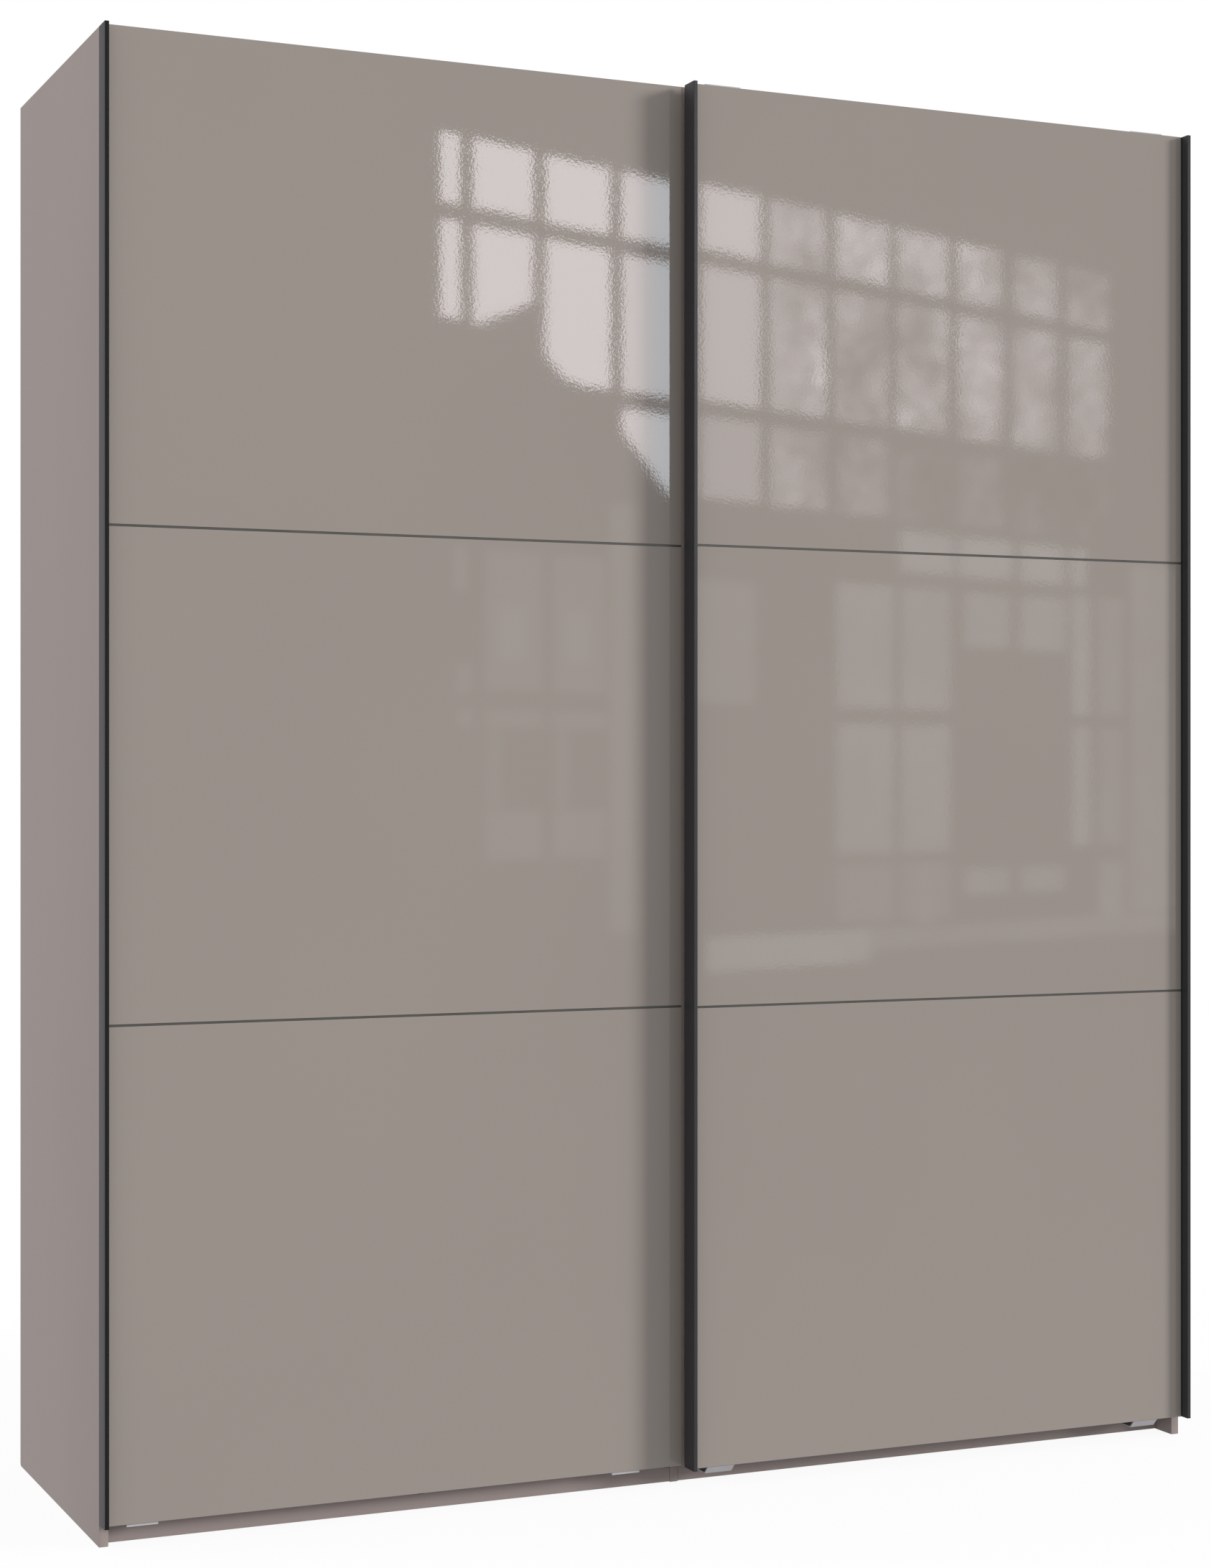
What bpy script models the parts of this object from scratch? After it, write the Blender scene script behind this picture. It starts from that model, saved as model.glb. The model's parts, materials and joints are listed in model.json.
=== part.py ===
"""Two-door wardrobe with top-hung sliding doors, modelled at full size.

Frame: +X to the right, +Y to the back, +Z up, in metres. The origin is on the floor, in the
middle of the wardrobe's bounding box, and the doors face -Y.
"""

import bmesh
import bpy
from math import cos, pi, sin

# ---------------------------------------------------------------- driving dimensions
WIDTH = 1.986                # outer faces of the side panels
HEIGHT = 2.360               # top of the side panels and of the doors
BOARD = 0.015                # carcass board thickness
FIT = 0.0003                 # gap between pieces that touch

BACK_Y = 0.3225              # rear edge of the side panels
LEFT_FRONT_Y = -0.2535       # front edge of the left side panel
RIGHT_FRONT_Y = -0.2829      # the right side panel reaches further forward
CARCASS_FRONT_Y = LEFT_FRONT_Y + 0.001
BACK_RECESS = 0.006          # back leaves sit this far in front of the rear edge
BACK_LEAF = 0.004

PLINTH_HEIGHT = 0.050
PLINTH_SETBACK = 0.0187      # plinth front behind the left side panel's front
PLINTH_AIR = 0.001           # plinth hangs this far above the floor
REAR_PLINTH_SETBACK = 0.010  # rear plinth in front of the back leaf
TOP_TRAY = 0.0523            # the top panels lie this far below HEIGHT
SHELF_Z = 2.020              # underside of the hat shelves
SHELF_DEPTH = 0.500
RAIL_Z = 1.945               # clothes rail centre
RAIL_TUBE = (0.030, 0.015)   # clothes rail height and width
RAIL_WALL = 0.0012
SOCKET_WALL = 0.0045

DOOR_WIDTH = 0.9965
DOOR_BOTTOM = 0.036
GLASS = 0.004
CARRIER = 0.0055
PROFILE_WIDTH = 0.007
PROFILE_DEPTH = 0.037
PROFILE_PROUD = 0.019        # edge profile stands this far in front of the glass
DIVIDER_HEIGHT = 0.003
DIVIDER_SETBACK = 0.0003     # dividers lie this far behind the face of the glass
LEFT_GLASS_Y = LEFT_FRONT_Y - 0.020
RIGHT_GLASS_Y = LEFT_FRONT_Y - 0.0498
FIELDS = 3

WHEEL_RADIUS = 0.015         # rolling radius, at the bottom of the groove
WHEEL_FLANGE = 0.0015
WHEEL_WIDTH = 0.010
GROOVE_WIDTH = 0.005
AXLE_RADIUS = 0.003
AXLE_PLAY = 0.00005
TRACK_WIDTH = 0.004
LEFT_TRACK_Y = LEFT_FRONT_Y + 0.015
RIGHT_TRACK_Y = LEFT_FRONT_Y + 0.045
WHEEL_Z = HEIGHT - 0.017     # the flanges stay below the top of the doors
TRACK_TOP = WHEEL_Z - WHEEL_RADIUS - FIT
BRACKET_PLATE = 0.0025
BRACKET_DROP = 0.110         # a bracket reaches this far below HEIGHT
BRACKET_TOP_GAP = 0.003      # a left door bracket ends this far below HEIGHT
ARM_CLEARANCE = 0.0015       # the right door's arms pass this far above HEIGHT
ARM_EXTRA = 0.016            # an arm is this much wider than its plate, on the right
TAIL_BELOW_AXLE = 0.010
WELD_OVERLAP = 0.001         # solids that make one bracket run this far into each other
SHOULDER = 0.002             # free axle between a wheel and the plate or tip beside it

HANGER_WIDTH = 0.050
LEFT_HANGERS_X = (0.0648, 0.8880)      # hanger centres from the left outer face
RIGHT_HANGERS_X = (1.0495, 1.9020)
SLIDE_TRAVEL = 0.970

SLOT_WIDTH = 0.0044
SLOT_DEPTH = 0.010
TONGUE_RISE = 0.002          # guide tongues end this far inside the slots
TONGUE_HALF = 0.0008
GUIDE_PLATE = 0.002
LEFT_GUIDE_DROP = 0.0045     # undersides of the guides below the doors
RIGHT_GUIDE_DROP = 0.0128
LEFT_SLOT_Y = LEFT_FRONT_Y + 0.0055
RIGHT_SLOT_Y = LEFT_FRONT_Y + 0.0130
CATCHES_X = (0.5330, 0.9760)

# ---------------------------------------------------------------- derived places
LEFT_X = -WIDTH / 2
RIGHT_X = WIDTH / 2
CENTRE_LEFT_X = LEFT_X + 0.9855        # left face of the centre partition
CENTRE_RIGHT_X = CENTRE_LEFT_X + BOARD
BAYS = {
    "left": (LEFT_X + BOARD + FIT, CENTRE_LEFT_X - FIT),
    "right": (CENTRE_RIGHT_X + FIT, RIGHT_X - BOARD - FIT),
}
INNER_X = (BAYS["left"][0], BAYS["right"][1])
BACK_LEAF_Y = BACK_Y - BACK_RECESS - BACK_LEAF
BOTTOM_PANEL_Z = PLINTH_HEIGHT
TOP_PANEL_TOP = HEIGHT - TOP_TRAY
PLINTH_FRONT_Y = LEFT_FRONT_Y + PLINTH_SETBACK
EDGE = 0.0005                # small chamfer on the edges of the boards

# ---------------------------------------------------------------- colours (linear RGB)
LAMINATE = (0.337, 0.294, 0.262)
BACK_BOARD = (0.42, 0.38, 0.34)
GLASS_TAUPE = (0.300, 0.262, 0.230)
GRAPHITE = (0.030, 0.030, 0.032)
DIVIDER_GREEN = (0.050, 0.058, 0.052)
ALUMINIUM = (0.56, 0.57, 0.58)
CHROME = (0.75, 0.76, 0.77)
BLACK_PLASTIC = (0.020, 0.020, 0.021)
WHITE_NYLON = (0.72, 0.71, 0.68)
LIGHT_GREY_STEEL = (0.38, 0.36, 0.38)


def clear_scene():
    """Empty the file of objects."""
    for old in list(bpy.data.objects):
        bpy.data.objects.remove(old)


def new_collection(name):
    """A collection linked to the scene."""
    group = bpy.data.collections.new(name)
    bpy.context.scene.collection.children.link(group)
    return group


def principled(name, colour, roughness, metallic=0.0):
    """A plain Principled material."""
    material = bpy.data.materials.new(name)
    material.use_nodes = True
    shader = material.node_tree.nodes["Principled BSDF"]
    shader.inputs["Base Color"].default_value = (*colour, 1.0)
    shader.inputs["Roughness"].default_value = roughness
    shader.inputs["Metallic"].default_value = metallic
    return material


def add_mesh(name, mesh, location, parts, parent=None):
    """Put a mesh in the parts collection, at a world location, under an optional parent."""
    piece = bpy.data.objects.new(name, mesh)
    parts.objects.link(piece)
    piece.location = location
    if parent is not None:
        piece.parent = parent
        piece.matrix_parent_inverse = parent.matrix_world.inverted()
    return piece


def chamfer(piece, width):
    """Break the sharp edges of a piece."""
    bevel = piece.modifiers.new("edge_break", "BEVEL")
    bevel.width = width
    bevel.segments = 1
    bevel.limit_method = "ANGLE"


def add_plain_box(name, low, high, group, parent=None):
    """A sharp-edged box between two corners, with its origin in the middle."""
    mesh = bpy.data.meshes.new(name)
    solid = bmesh.new()
    bmesh.ops.create_cube(solid, size=1.0)
    bmesh.ops.scale(solid, vec=[b - a for a, b in zip(low, high)], verts=solid.verts)
    solid.to_mesh(mesh)
    solid.free()
    return add_mesh(name, mesh, [(a + b) / 2 for a, b in zip(low, high)], group, parent)


def add_box(name, low, high, parts, material, parent=None, edge=EDGE):
    """A box between two corners, with broken edges."""
    piece = add_plain_box(name, low, high, parts, parent)
    piece.data.materials.append(material)
    if edge:
        chamfer(piece, edge)
    return piece


def outline_mesh(name, outlines, thickness):
    """A flat outline (with optional holes) in XY, extruded about z = 0 and welded."""
    curve = bpy.data.curves.new(name, "CURVE")
    curve.dimensions = "2D"
    curve.fill_mode = "BOTH"
    curve.extrude = thickness / 2
    for points in outlines:
        spline = curve.splines.new("POLY")
        spline.points.add(len(points) - 1)
        for point, (x, y) in zip(spline.points, points):
            point.co = (x, y, 0.0, 1.0)
        spline.use_cyclic_u = True
    holder = bpy.data.objects.new(name + "_outline", curve)
    bpy.context.scene.collection.objects.link(holder)
    graph = bpy.context.evaluated_depsgraph_get()
    mesh = bpy.data.meshes.new_from_object(holder.evaluated_get(graph))
    bpy.data.objects.remove(holder)
    solid = bmesh.new()
    solid.from_mesh(mesh)
    bmesh.ops.remove_doubles(solid, verts=solid.verts, dist=0.000001)
    bmesh.ops.recalc_face_normals(solid, faces=solid.faces)
    solid.to_mesh(mesh)
    solid.free()
    mesh.name = name
    return mesh


def add_section_along_x(name, outlines, x_low, x_high, parts, material, parent=None):
    """Extrude outlines given as (world Y, world Z) points from x_low to x_high."""
    mesh = outline_mesh(name, outlines, x_high - x_low)
    for vertex in mesh.vertices:
        y, z, x = vertex.co
        vertex.co = (x, y, z)
    middle = ((x_low + x_high) / 2, 0.0, 0.0)
    piece = add_mesh(name, mesh, middle, parts, parent)
    piece.data.materials.append(material)
    return piece


def add_section_along_z(name, outlines, z_low, z_high, parts, material, parent=None):
    """Extrude outlines given as (world X, world Y) points from z_low to z_high."""
    mesh = outline_mesh(name, outlines, z_high - z_low)
    middle = (0.0, 0.0, (z_low + z_high) / 2)
    piece = add_mesh(name, mesh, middle, parts, parent)
    piece.data.materials.append(material)
    return piece


def stadium(centre, length, width, steps=8):
    """A slot-shaped outline whose length runs along its first coordinate."""
    radius = width / 2
    reach = length / 2 - radius
    points = []
    for side, start in ((1, -pi / 2), (-1, pi / 2)):
        for step in range(steps + 1):
            angle = start + pi * step / steps
            points.append((centre[0] + side * reach + radius * cos(angle),
                           centre[1] + radius * sin(angle)))
    return points


def cut(piece, cutter):
    """Subtract a cutter from a piece."""
    boolean = piece.modifiers.new("cut_" + cutter.name, "BOOLEAN")
    boolean.operation = "DIFFERENCE"
    boolean.solver = "EXACT"
    boolean.object = cutter


def join(piece, addition):
    """Unite a piece with a guide solid."""
    boolean = piece.modifiers.new("join_" + addition.name, "BOOLEAN")
    boolean.operation = "UNION"
    boolean.solver = "EXACT"
    boolean.object = addition


def as_guide(piece):
    """Mark a solid that only shapes another one."""
    piece.hide_render = True
    piece.display_type = "WIRE"
    return piece


def cylinder_mesh(name, radius, length, segments=20):
    """A closed cylinder along Y, centred on its origin."""
    mesh = bpy.data.meshes.new(name)
    solid = bmesh.new()
    bmesh.ops.create_cone(solid, cap_ends=True, segments=segments,
                          radius1=radius, radius2=radius, depth=length)
    for vertex in solid.verts:
        x, y, z = vertex.co
        vertex.co = (x, z, -y)
    solid.to_mesh(mesh)
    solid.free()
    return mesh


# ---------------------------------------------------------------- carcass
def build_side_panels(parts, laminate):
    """Full-height side panels that stand on the floor, with a scribed lower rear corner."""
    corner = 0.004
    for name, x_low, front in (("side_panel_left", LEFT_X, LEFT_FRONT_Y),
                               ("side_panel_right", RIGHT_X - BOARD, RIGHT_FRONT_Y)):
        outline = [(front, 0.0), (BACK_Y - corner, 0.0), (BACK_Y, corner),
                   (BACK_Y, HEIGHT), (front, HEIGHT)]
        panel = add_section_along_x(name, [outline], x_low, x_low + BOARD, parts, laminate)
        chamfer(panel, EDGE)


def build_centre_partition(parts, laminate):
    """Partition between the bays, notched at the lower front for the guide rail."""
    outline = [(PLINTH_FRONT_Y, 0.0), (BACK_LEAF_Y - FIT, 0.0),
               (BACK_LEAF_Y - FIT, TOP_PANEL_TOP), (CARCASS_FRONT_Y, TOP_PANEL_TOP),
               (CARCASS_FRONT_Y, PLINTH_HEIGHT), (PLINTH_FRONT_Y, PLINTH_HEIGHT)]
    partition = add_section_along_x("centre_partition", [outline], CENTRE_LEFT_X,
                                    CENTRE_RIGHT_X, parts, laminate)
    chamfer(partition, EDGE)


def build_bays(parts, looks):
    """Top, bottom, plinth, back, shelf and clothes rail of each bay."""
    for side, (x_low, x_high) in BAYS.items():
        add_box("bottom_panel_" + side, (x_low, CARCASS_FRONT_Y, BOTTOM_PANEL_Z),
                (x_high, BACK_LEAF_Y - FIT, BOTTOM_PANEL_Z + BOARD), parts, looks["laminate"])
        add_box("top_panel_" + side, (x_low, CARCASS_FRONT_Y, TOP_PANEL_TOP - BOARD),
                (x_high, BACK_LEAF_Y - FIT, TOP_PANEL_TOP), parts, looks["laminate"])
        add_box("plinth_" + side, (x_low, PLINTH_FRONT_Y, PLINTH_AIR),
                (x_high, PLINTH_FRONT_Y + BOARD, BOTTOM_PANEL_Z - FIT), parts, looks["laminate"])
        rear_plinth_back = BACK_LEAF_Y - REAR_PLINTH_SETBACK
        add_box("rear_plinth_" + side, (x_low, rear_plinth_back - BOARD, PLINTH_AIR),
                (x_high, rear_plinth_back, BOTTOM_PANEL_Z - FIT), parts, looks["laminate"])
        add_box("hat_shelf_" + side, (x_low, BACK_LEAF_Y - FIT - SHELF_DEPTH, SHELF_Z),
                (x_high, BACK_LEAF_Y - FIT, SHELF_Z + BOARD), parts, looks["laminate"])
    middle = (CENTRE_LEFT_X + CENTRE_RIGHT_X) / 2
    for side, x_low, x_high in (("left", INNER_X[0], middle - FIT / 2),
                                ("right", middle + FIT / 2, INNER_X[1])):
        add_box("back_panel_" + side, (x_low, BACK_LEAF_Y, PLINTH_HEIGHT),
                (x_high, BACK_LEAF_Y + BACK_LEAF, TOP_PANEL_TOP), parts, looks["back"])


def build_clothes_rails(parts, guides, looks):
    """An oval clothes rail in each bay, held by a cup-shaped socket at each end."""
    rail_y = (CARCASS_FRONT_Y + BACK_LEAF_Y) / 2
    flange = 0.003
    cup_length = 0.014
    seat_gap = 0.0005
    tube_height, tube_width = RAIL_TUBE
    for side, (x_low, x_high) in BAYS.items():
        rail = add_section_along_x(
            "clothes_rail_" + side,
            [[(rail_y + y, RAIL_Z + z) for z, y in stadium((0, 0), tube_height, tube_width)],
             [(rail_y + y, RAIL_Z + z) for z, y in stadium((0, 0), tube_height - 2 * RAIL_WALL,
                                                            tube_width - 2 * RAIL_WALL)]],
            x_low + flange + FIT, x_high - flange - FIT, parts, looks["chrome"])
        rail.data.shade_smooth()
        rail.data.set_sharp_from_angle(angle=pi / 5)
        for end, face_x, inward in (("left", x_low, 1), ("right", x_high, -1)):
            name = "rail_socket_{}_{}".format(side, end)
            cup = [(rail_y + y, RAIL_Z + z)
                   for z, y in stadium((0, 0), tube_height + 2 * SOCKET_WALL,
                                        tube_width + 2 * SOCKET_WALL)]
            ends = sorted((face_x, face_x + inward * cup_length))
            socket = add_section_along_x(name, [cup], ends[0], ends[1], parts, looks["chrome"])
            bore = [(rail_y + y, RAIL_Z + z)
                    for z, y in stadium((0, 0), tube_height + 2 * seat_gap,
                                        tube_width + 2 * seat_gap)]
            ends = sorted((face_x + inward * flange, face_x + inward * 2 * cup_length))
            cutter = add_section_along_x(name + "_bore", [bore], ends[0], ends[1], guides,
                                         looks["chrome"])
            cut(socket, as_guide(cutter))


def build_top_running_rail(parts, aluminium):
    """Aluminium double track on the top panels, one flat-topped rib for each door."""
    base = 0.003
    rail_bottom = TOP_PANEL_TOP + FIT
    rail_top = rail_bottom + base
    front = LEFT_TRACK_Y - 0.012
    back = RIGHT_TRACK_Y + 0.016
    lip_height = 0.008
    lip_front = back - 0.002
    outline = [(front, rail_bottom), (back, rail_bottom), (back, rail_top + lip_height),
               (lip_front, rail_top + lip_height), (lip_front, rail_top)]
    for track in (RIGHT_TRACK_Y, LEFT_TRACK_Y):
        outline += [(track + TRACK_WIDTH / 2, rail_top), (track + TRACK_WIDTH / 2, TRACK_TOP),
                    (track - TRACK_WIDTH / 2, TRACK_TOP), (track - TRACK_WIDTH / 2, rail_top)]
    outline += [(front, rail_top)]
    add_section_along_x("top_running_rail", [outline], INNER_X[0], INNER_X[1], parts, aluminium)


def build_rail_end_stops(parts, plastic):
    """A stepped stop over each end of the double track, one face for each door's wheels."""
    low = TRACK_TOP + FIT
    high = HEIGHT - 0.010
    step = (LEFT_TRACK_Y + RIGHT_TRACK_Y) / 2
    front = LEFT_TRACK_Y - 0.007
    back = RIGHT_TRACK_Y + 0.005
    reach = WHEEL_RADIUS + WHEEL_FLANGE + FIT
    left_front = LEFT_X + LEFT_HANGERS_X[0] - reach
    left_back = LEFT_X + RIGHT_HANGERS_X[0] - SLIDE_TRAVEL - reach
    right_front = LEFT_X + LEFT_HANGERS_X[1] + SLIDE_TRAVEL + reach
    right_back = LEFT_X + RIGHT_HANGERS_X[1] + reach
    for name, end, face_front, face_back in (
            ("rail_end_stop_left", INNER_X[0], left_front, left_back),
            ("rail_end_stop_right", INNER_X[1], right_front, right_back)):
        outline = [(end, front), (face_front, front), (face_front, step), (face_back, step),
                   (face_back, back), (end, back)]
        stop = add_section_along_z(name, [outline], low, high, parts, plastic)
        chamfer(stop, EDGE)


def build_bottom_guide_rail(parts, aluminium):
    """Rail under the bottom panels with two slots that are open downwards."""
    low = DOOR_BOTTOM
    high = BOTTOM_PANEL_Z - FIT
    front = CARCASS_FRONT_Y
    back = PLINTH_FRONT_Y - FIT
    outline = [(front, low), (front, high), (back, high), (back, low)]
    for slot in (RIGHT_SLOT_Y, LEFT_SLOT_Y):
        outline += [(slot + SLOT_WIDTH / 2, low), (slot + SLOT_WIDTH / 2, low + SLOT_DEPTH),
                    (slot - SLOT_WIDTH / 2, low + SLOT_DEPTH), (slot - SLOT_WIDTH / 2, low)]
    add_section_along_x("bottom_guide_rail", [outline], INNER_X[0], INNER_X[1], parts, aluminium)


def build_catches(parts, plastic):
    """Small black catch blocks under the web between the two guide slots."""
    web_y = (LEFT_SLOT_Y + RIGHT_SLOT_Y) / 2
    half_depth = 0.0013
    half_length = 0.006
    drop = 0.008
    for index, x in enumerate(CATCHES_X, start=1):
        add_box("guide_rail_catch_{}".format(index),
                (LEFT_X + x - half_length, web_y - half_depth, DOOR_BOTTOM - FIT - drop),
                (LEFT_X + x + half_length, web_y + half_depth, DOOR_BOTTOM - FIT),
                parts, plastic, edge=0.0004)


# ---------------------------------------------------------------- doors
def add_slide_empty(name, x, y):
    """An empty on a door's slide axis, at the track that carries the door."""
    empty = bpy.data.objects.new(name, None)
    bpy.context.scene.collection.objects.link(empty)
    empty.location = (x, y, TRACK_TOP)
    bpy.context.view_layer.update()
    return empty


def build_door_leaf(side, x_low, glass_y, left_edge, right_edge, parts, looks, parent):
    """Carrier board, glass fields, dividers and edge strips of one door."""
    inner_low = x_low + PROFILE_WIDTH + FIT
    inner_high = x_low + DOOR_WIDTH - PROFILE_WIDTH - FIT
    glass_back = glass_y + GLASS
    add_box(side + "_door_board", (inner_low, glass_back + FIT, DOOR_BOTTOM),
            (inner_high, glass_back + CARRIER, HEIGHT), parts, looks["board"], parent)
    field = (HEIGHT - DOOR_BOTTOM - (FIELDS - 1) * DIVIDER_HEIGHT) / FIELDS
    for index in range(FIELDS):
        low = DOOR_BOTTOM + index * (field + DIVIDER_HEIGHT)
        top_gap = FIT if index < FIELDS - 1 else 0.0
        low_gap = FIT if index > 0 else 0.0
        add_box("{}_door_glass_{}".format(side, index + 1), (inner_low, glass_y, low + low_gap),
                (inner_high, glass_back, low + field - top_gap), parts, looks["glass"], parent,
                edge=0.0004)
    for index in range(1, FIELDS):
        low = DOOR_BOTTOM + index * field + (index - 1) * DIVIDER_HEIGHT
        add_box("{}_door_divider_{}".format(side, index), (inner_low, glass_y + DIVIDER_SETBACK, low),
                (inner_high, glass_back, low + DIVIDER_HEIGHT), parts, looks["divider"], parent,
                edge=0.0)
    profile_front = glass_y - PROFILE_PROUD
    edges = ((left_edge, x_low), (right_edge, x_low + DOOR_WIDTH - PROFILE_WIDTH))
    for name, edge_x in edges:
        if name.endswith("trim"):
            add_box(name, (edge_x, glass_y, DOOR_BOTTOM),
                    (edge_x + PROFILE_WIDTH, glass_back + CARRIER, HEIGHT), parts,
                    looks["trim"], parent)
        else:
            add_box(name, (edge_x, profile_front, DOOR_BOTTOM),
                    (edge_x + PROFILE_WIDTH, profile_front + PROFILE_DEPTH, HEIGHT), parts,
                    looks["graphite"], parent, edge=0.0008)


def build_hanger(name, x, board_back, track_y, over_top, parts, guides, steel, parent):
    """A bracket on the rear of a door that carries one wheel axle along Y.

    A bracket that goes over the top bridges the other door and comes down behind its track.
    """
    low_x = x - HANGER_WIDTH / 2
    high_x = x + HANGER_WIDTH / 2
    plate_front = board_back + FIT
    plate_back = plate_front + BRACKET_PLATE
    top = HEIGHT + ARM_CLEARANCE + BRACKET_PLATE if over_top else HEIGHT - BRACKET_TOP_GAP
    bracket = add_box(name, (low_x, plate_front, HEIGHT - BRACKET_DROP),
                      (high_x, plate_back, top), parts, steel, parent, edge=0.0)
    wheel_front = track_y - WHEEL_WIDTH / 2
    wheel_back = track_y + WHEEL_WIDTH / 2
    axle_ends = (plate_back - WELD_OVERLAP, wheel_back + SHOULDER)
    if over_top:
        build_over_arm(bracket, name, (low_x, high_x), plate_front, wheel_back + SHOULDER, top,
                       guides)
        axle_ends = (wheel_front - SHOULDER, wheel_back + SHOULDER + WELD_OVERLAP)
    pin = add_mesh(name + "_axle",
                   cylinder_mesh(name + "_axle", AXLE_RADIUS, axle_ends[1] - axle_ends[0]),
                   (x, sum(axle_ends) / 2, WHEEL_Z), guides)
    join(bracket, as_guide(pin))


def build_over_arm(bracket, name, sides, front, tail_front, top, guides):
    """Weld an arm over the other door, and the tail at its rear end, to a bracket plate."""
    inset = WELD_OVERLAP / 2
    skin = 0.0002                # the arm stands this far around the plate it is welded to
    arm = add_plain_box(name + "_arm",
                        (sides[0], front + inset, top - BRACKET_PLATE - skin),
                        (sides[1] + ARM_EXTRA, tail_front + BRACKET_PLATE, top + skin), guides)
    tail = add_plain_box(name + "_tail",
                         (sides[0] + WELD_OVERLAP, tail_front, WHEEL_Z - TAIL_BELOW_AXLE),
                         (sides[1] - WELD_OVERLAP, tail_front + BRACKET_PLATE - inset,
                          top - WELD_OVERLAP), guides)
    join(bracket, as_guide(arm))
    join(bracket, as_guide(tail))


def wheel_profile():
    """Half section of a grooved wheel as (radius, distance along the axle), top to bottom."""
    half = WHEEL_WIDTH / 2
    groove = GROOVE_WIDTH / 2
    bore = AXLE_RADIUS + AXLE_PLAY
    rim = WHEEL_RADIUS + WHEEL_FLANGE
    rim_break = 0.0006
    groove_slope = 0.0008
    upper = [(bore, half), (rim - rim_break, half), (rim, half - rim_break),
             (rim, groove + groove_slope), (WHEEL_RADIUS, groove)]
    return upper + [(radius, -along) for radius, along in reversed(upper)]


def add_wheel(name, x, track_y, parts, nylon, parent):
    """A grooved wheel turned about its axle, with its origin on the axle."""
    turn_steps = 28
    mesh = bpy.data.meshes.new(name)
    section = bmesh.new()
    points = [section.verts.new((radius, 0.0, along)) for radius, along in wheel_profile()]
    for point, following in zip(points, points[1:] + points[:1]):
        section.edges.new((point, following))
    section.to_mesh(mesh)
    section.free()
    wheel = add_mesh(name, mesh, (x, track_y, WHEEL_Z), parts, parent)
    wheel.rotation_euler = (pi / 2, 0.0, 0.0)
    wheel.data.materials.append(nylon)
    turn = wheel.modifiers.new("turn", "SCREW")
    turn.axis = "Z"
    turn.steps = turn_steps
    turn.render_steps = turn_steps
    turn.use_merge_vertices = True
    turn.merge_threshold = 0.00001
    return wheel


def left_guide_outline(slot_y):
    """Section (Y, Z) of the left door's guide: a lip under the door and a tongue behind."""
    front = LEFT_GLASS_Y + 0.0035
    board_back = LEFT_GLASS_Y + GLASS + CARRIER
    low = DOOR_BOTTOM - LEFT_GUIDE_DROP
    high = DOOR_BOTTOM - FIT
    tongue_top = DOOR_BOTTOM + TONGUE_RISE
    return [(front, low), (slot_y + TONGUE_HALF, low), (slot_y + TONGUE_HALF, tongue_top),
            (slot_y - TONGUE_HALF, tongue_top), (slot_y - TONGUE_HALF, low + GUIDE_PLATE),
            (board_back + 0.002, low + GUIDE_PLATE), (board_back + 0.001, high), (front, high)]


def right_guide_outline(slot_y):
    """Section (Y, Z) of the right door's guide: it slopes down and passes under the left door."""
    front = RIGHT_GLASS_Y + 0.0008
    slope_foot = front + 0.0120
    slope_width = 0.0008         # the sloped wall is this much wider at its foot
    wall = 0.0030
    low = DOOR_BOTTOM - RIGHT_GUIDE_DROP
    high = DOOR_BOTTOM - FIT
    tongue_top = DOOR_BOTTOM + TONGUE_RISE
    return [(front, high), (slope_foot, low), (slot_y + TONGUE_HALF, low),
            (slot_y + TONGUE_HALF, tongue_top), (slot_y - TONGUE_HALF, tongue_top),
            (slot_y - TONGUE_HALF, low + GUIDE_PLATE),
            (slope_foot + slope_width, low + GUIDE_PLATE), (front + wall, high)]


def build_guides(side, centres, outline, slot_y, parts, looks, parent):
    """Guide brackets under a door and the nylon shoes that run in the rail's slot."""
    shoe_length = 0.036
    shoe_play = 0.0008
    shoe_width = SLOT_WIDTH - shoe_play
    shoe_low = DOOR_BOTTOM + TONGUE_RISE + FIT
    shoe_high = DOOR_BOTTOM + SLOT_DEPTH - shoe_play
    for index, x in enumerate(centres, start=1):
        add_section_along_x("{}_door_guide_{}".format(side, index), [outline],
                            x - HANGER_WIDTH / 2, x + HANGER_WIDTH / 2, parts, looks["steel"],
                            parent)
        add_section_along_z("{}_door_shoe_{}".format(side, index),
                            [stadium((x, slot_y), shoe_length, shoe_width, steps=6)],
                            shoe_low, shoe_high, parts, looks["nylon"], parent)


def build_left_door(parts, guides, looks):
    """The rear door, closed over the left bay."""
    empty = add_slide_empty("left_door", LEFT_X, LEFT_TRACK_Y)
    build_door_leaf("left", LEFT_X, LEFT_GLASS_Y, "left_door_edge_profile", "left_door_edge_trim",
                    parts, looks, empty)
    centres = [LEFT_X + x for x in LEFT_HANGERS_X]
    board_back = LEFT_GLASS_Y + GLASS + CARRIER
    for index, x in enumerate(centres, start=1):
        build_hanger("left_door_hanger_{}".format(index), x, board_back, LEFT_TRACK_Y, False,
                     parts, guides, looks["steel"], empty)
        add_wheel("left_door_wheel_{}".format(index), x, LEFT_TRACK_Y, parts, looks["nylon"],
                  empty)
    build_guides("left", centres, left_guide_outline(LEFT_SLOT_Y), LEFT_SLOT_Y, parts, looks,
                 empty)


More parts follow.
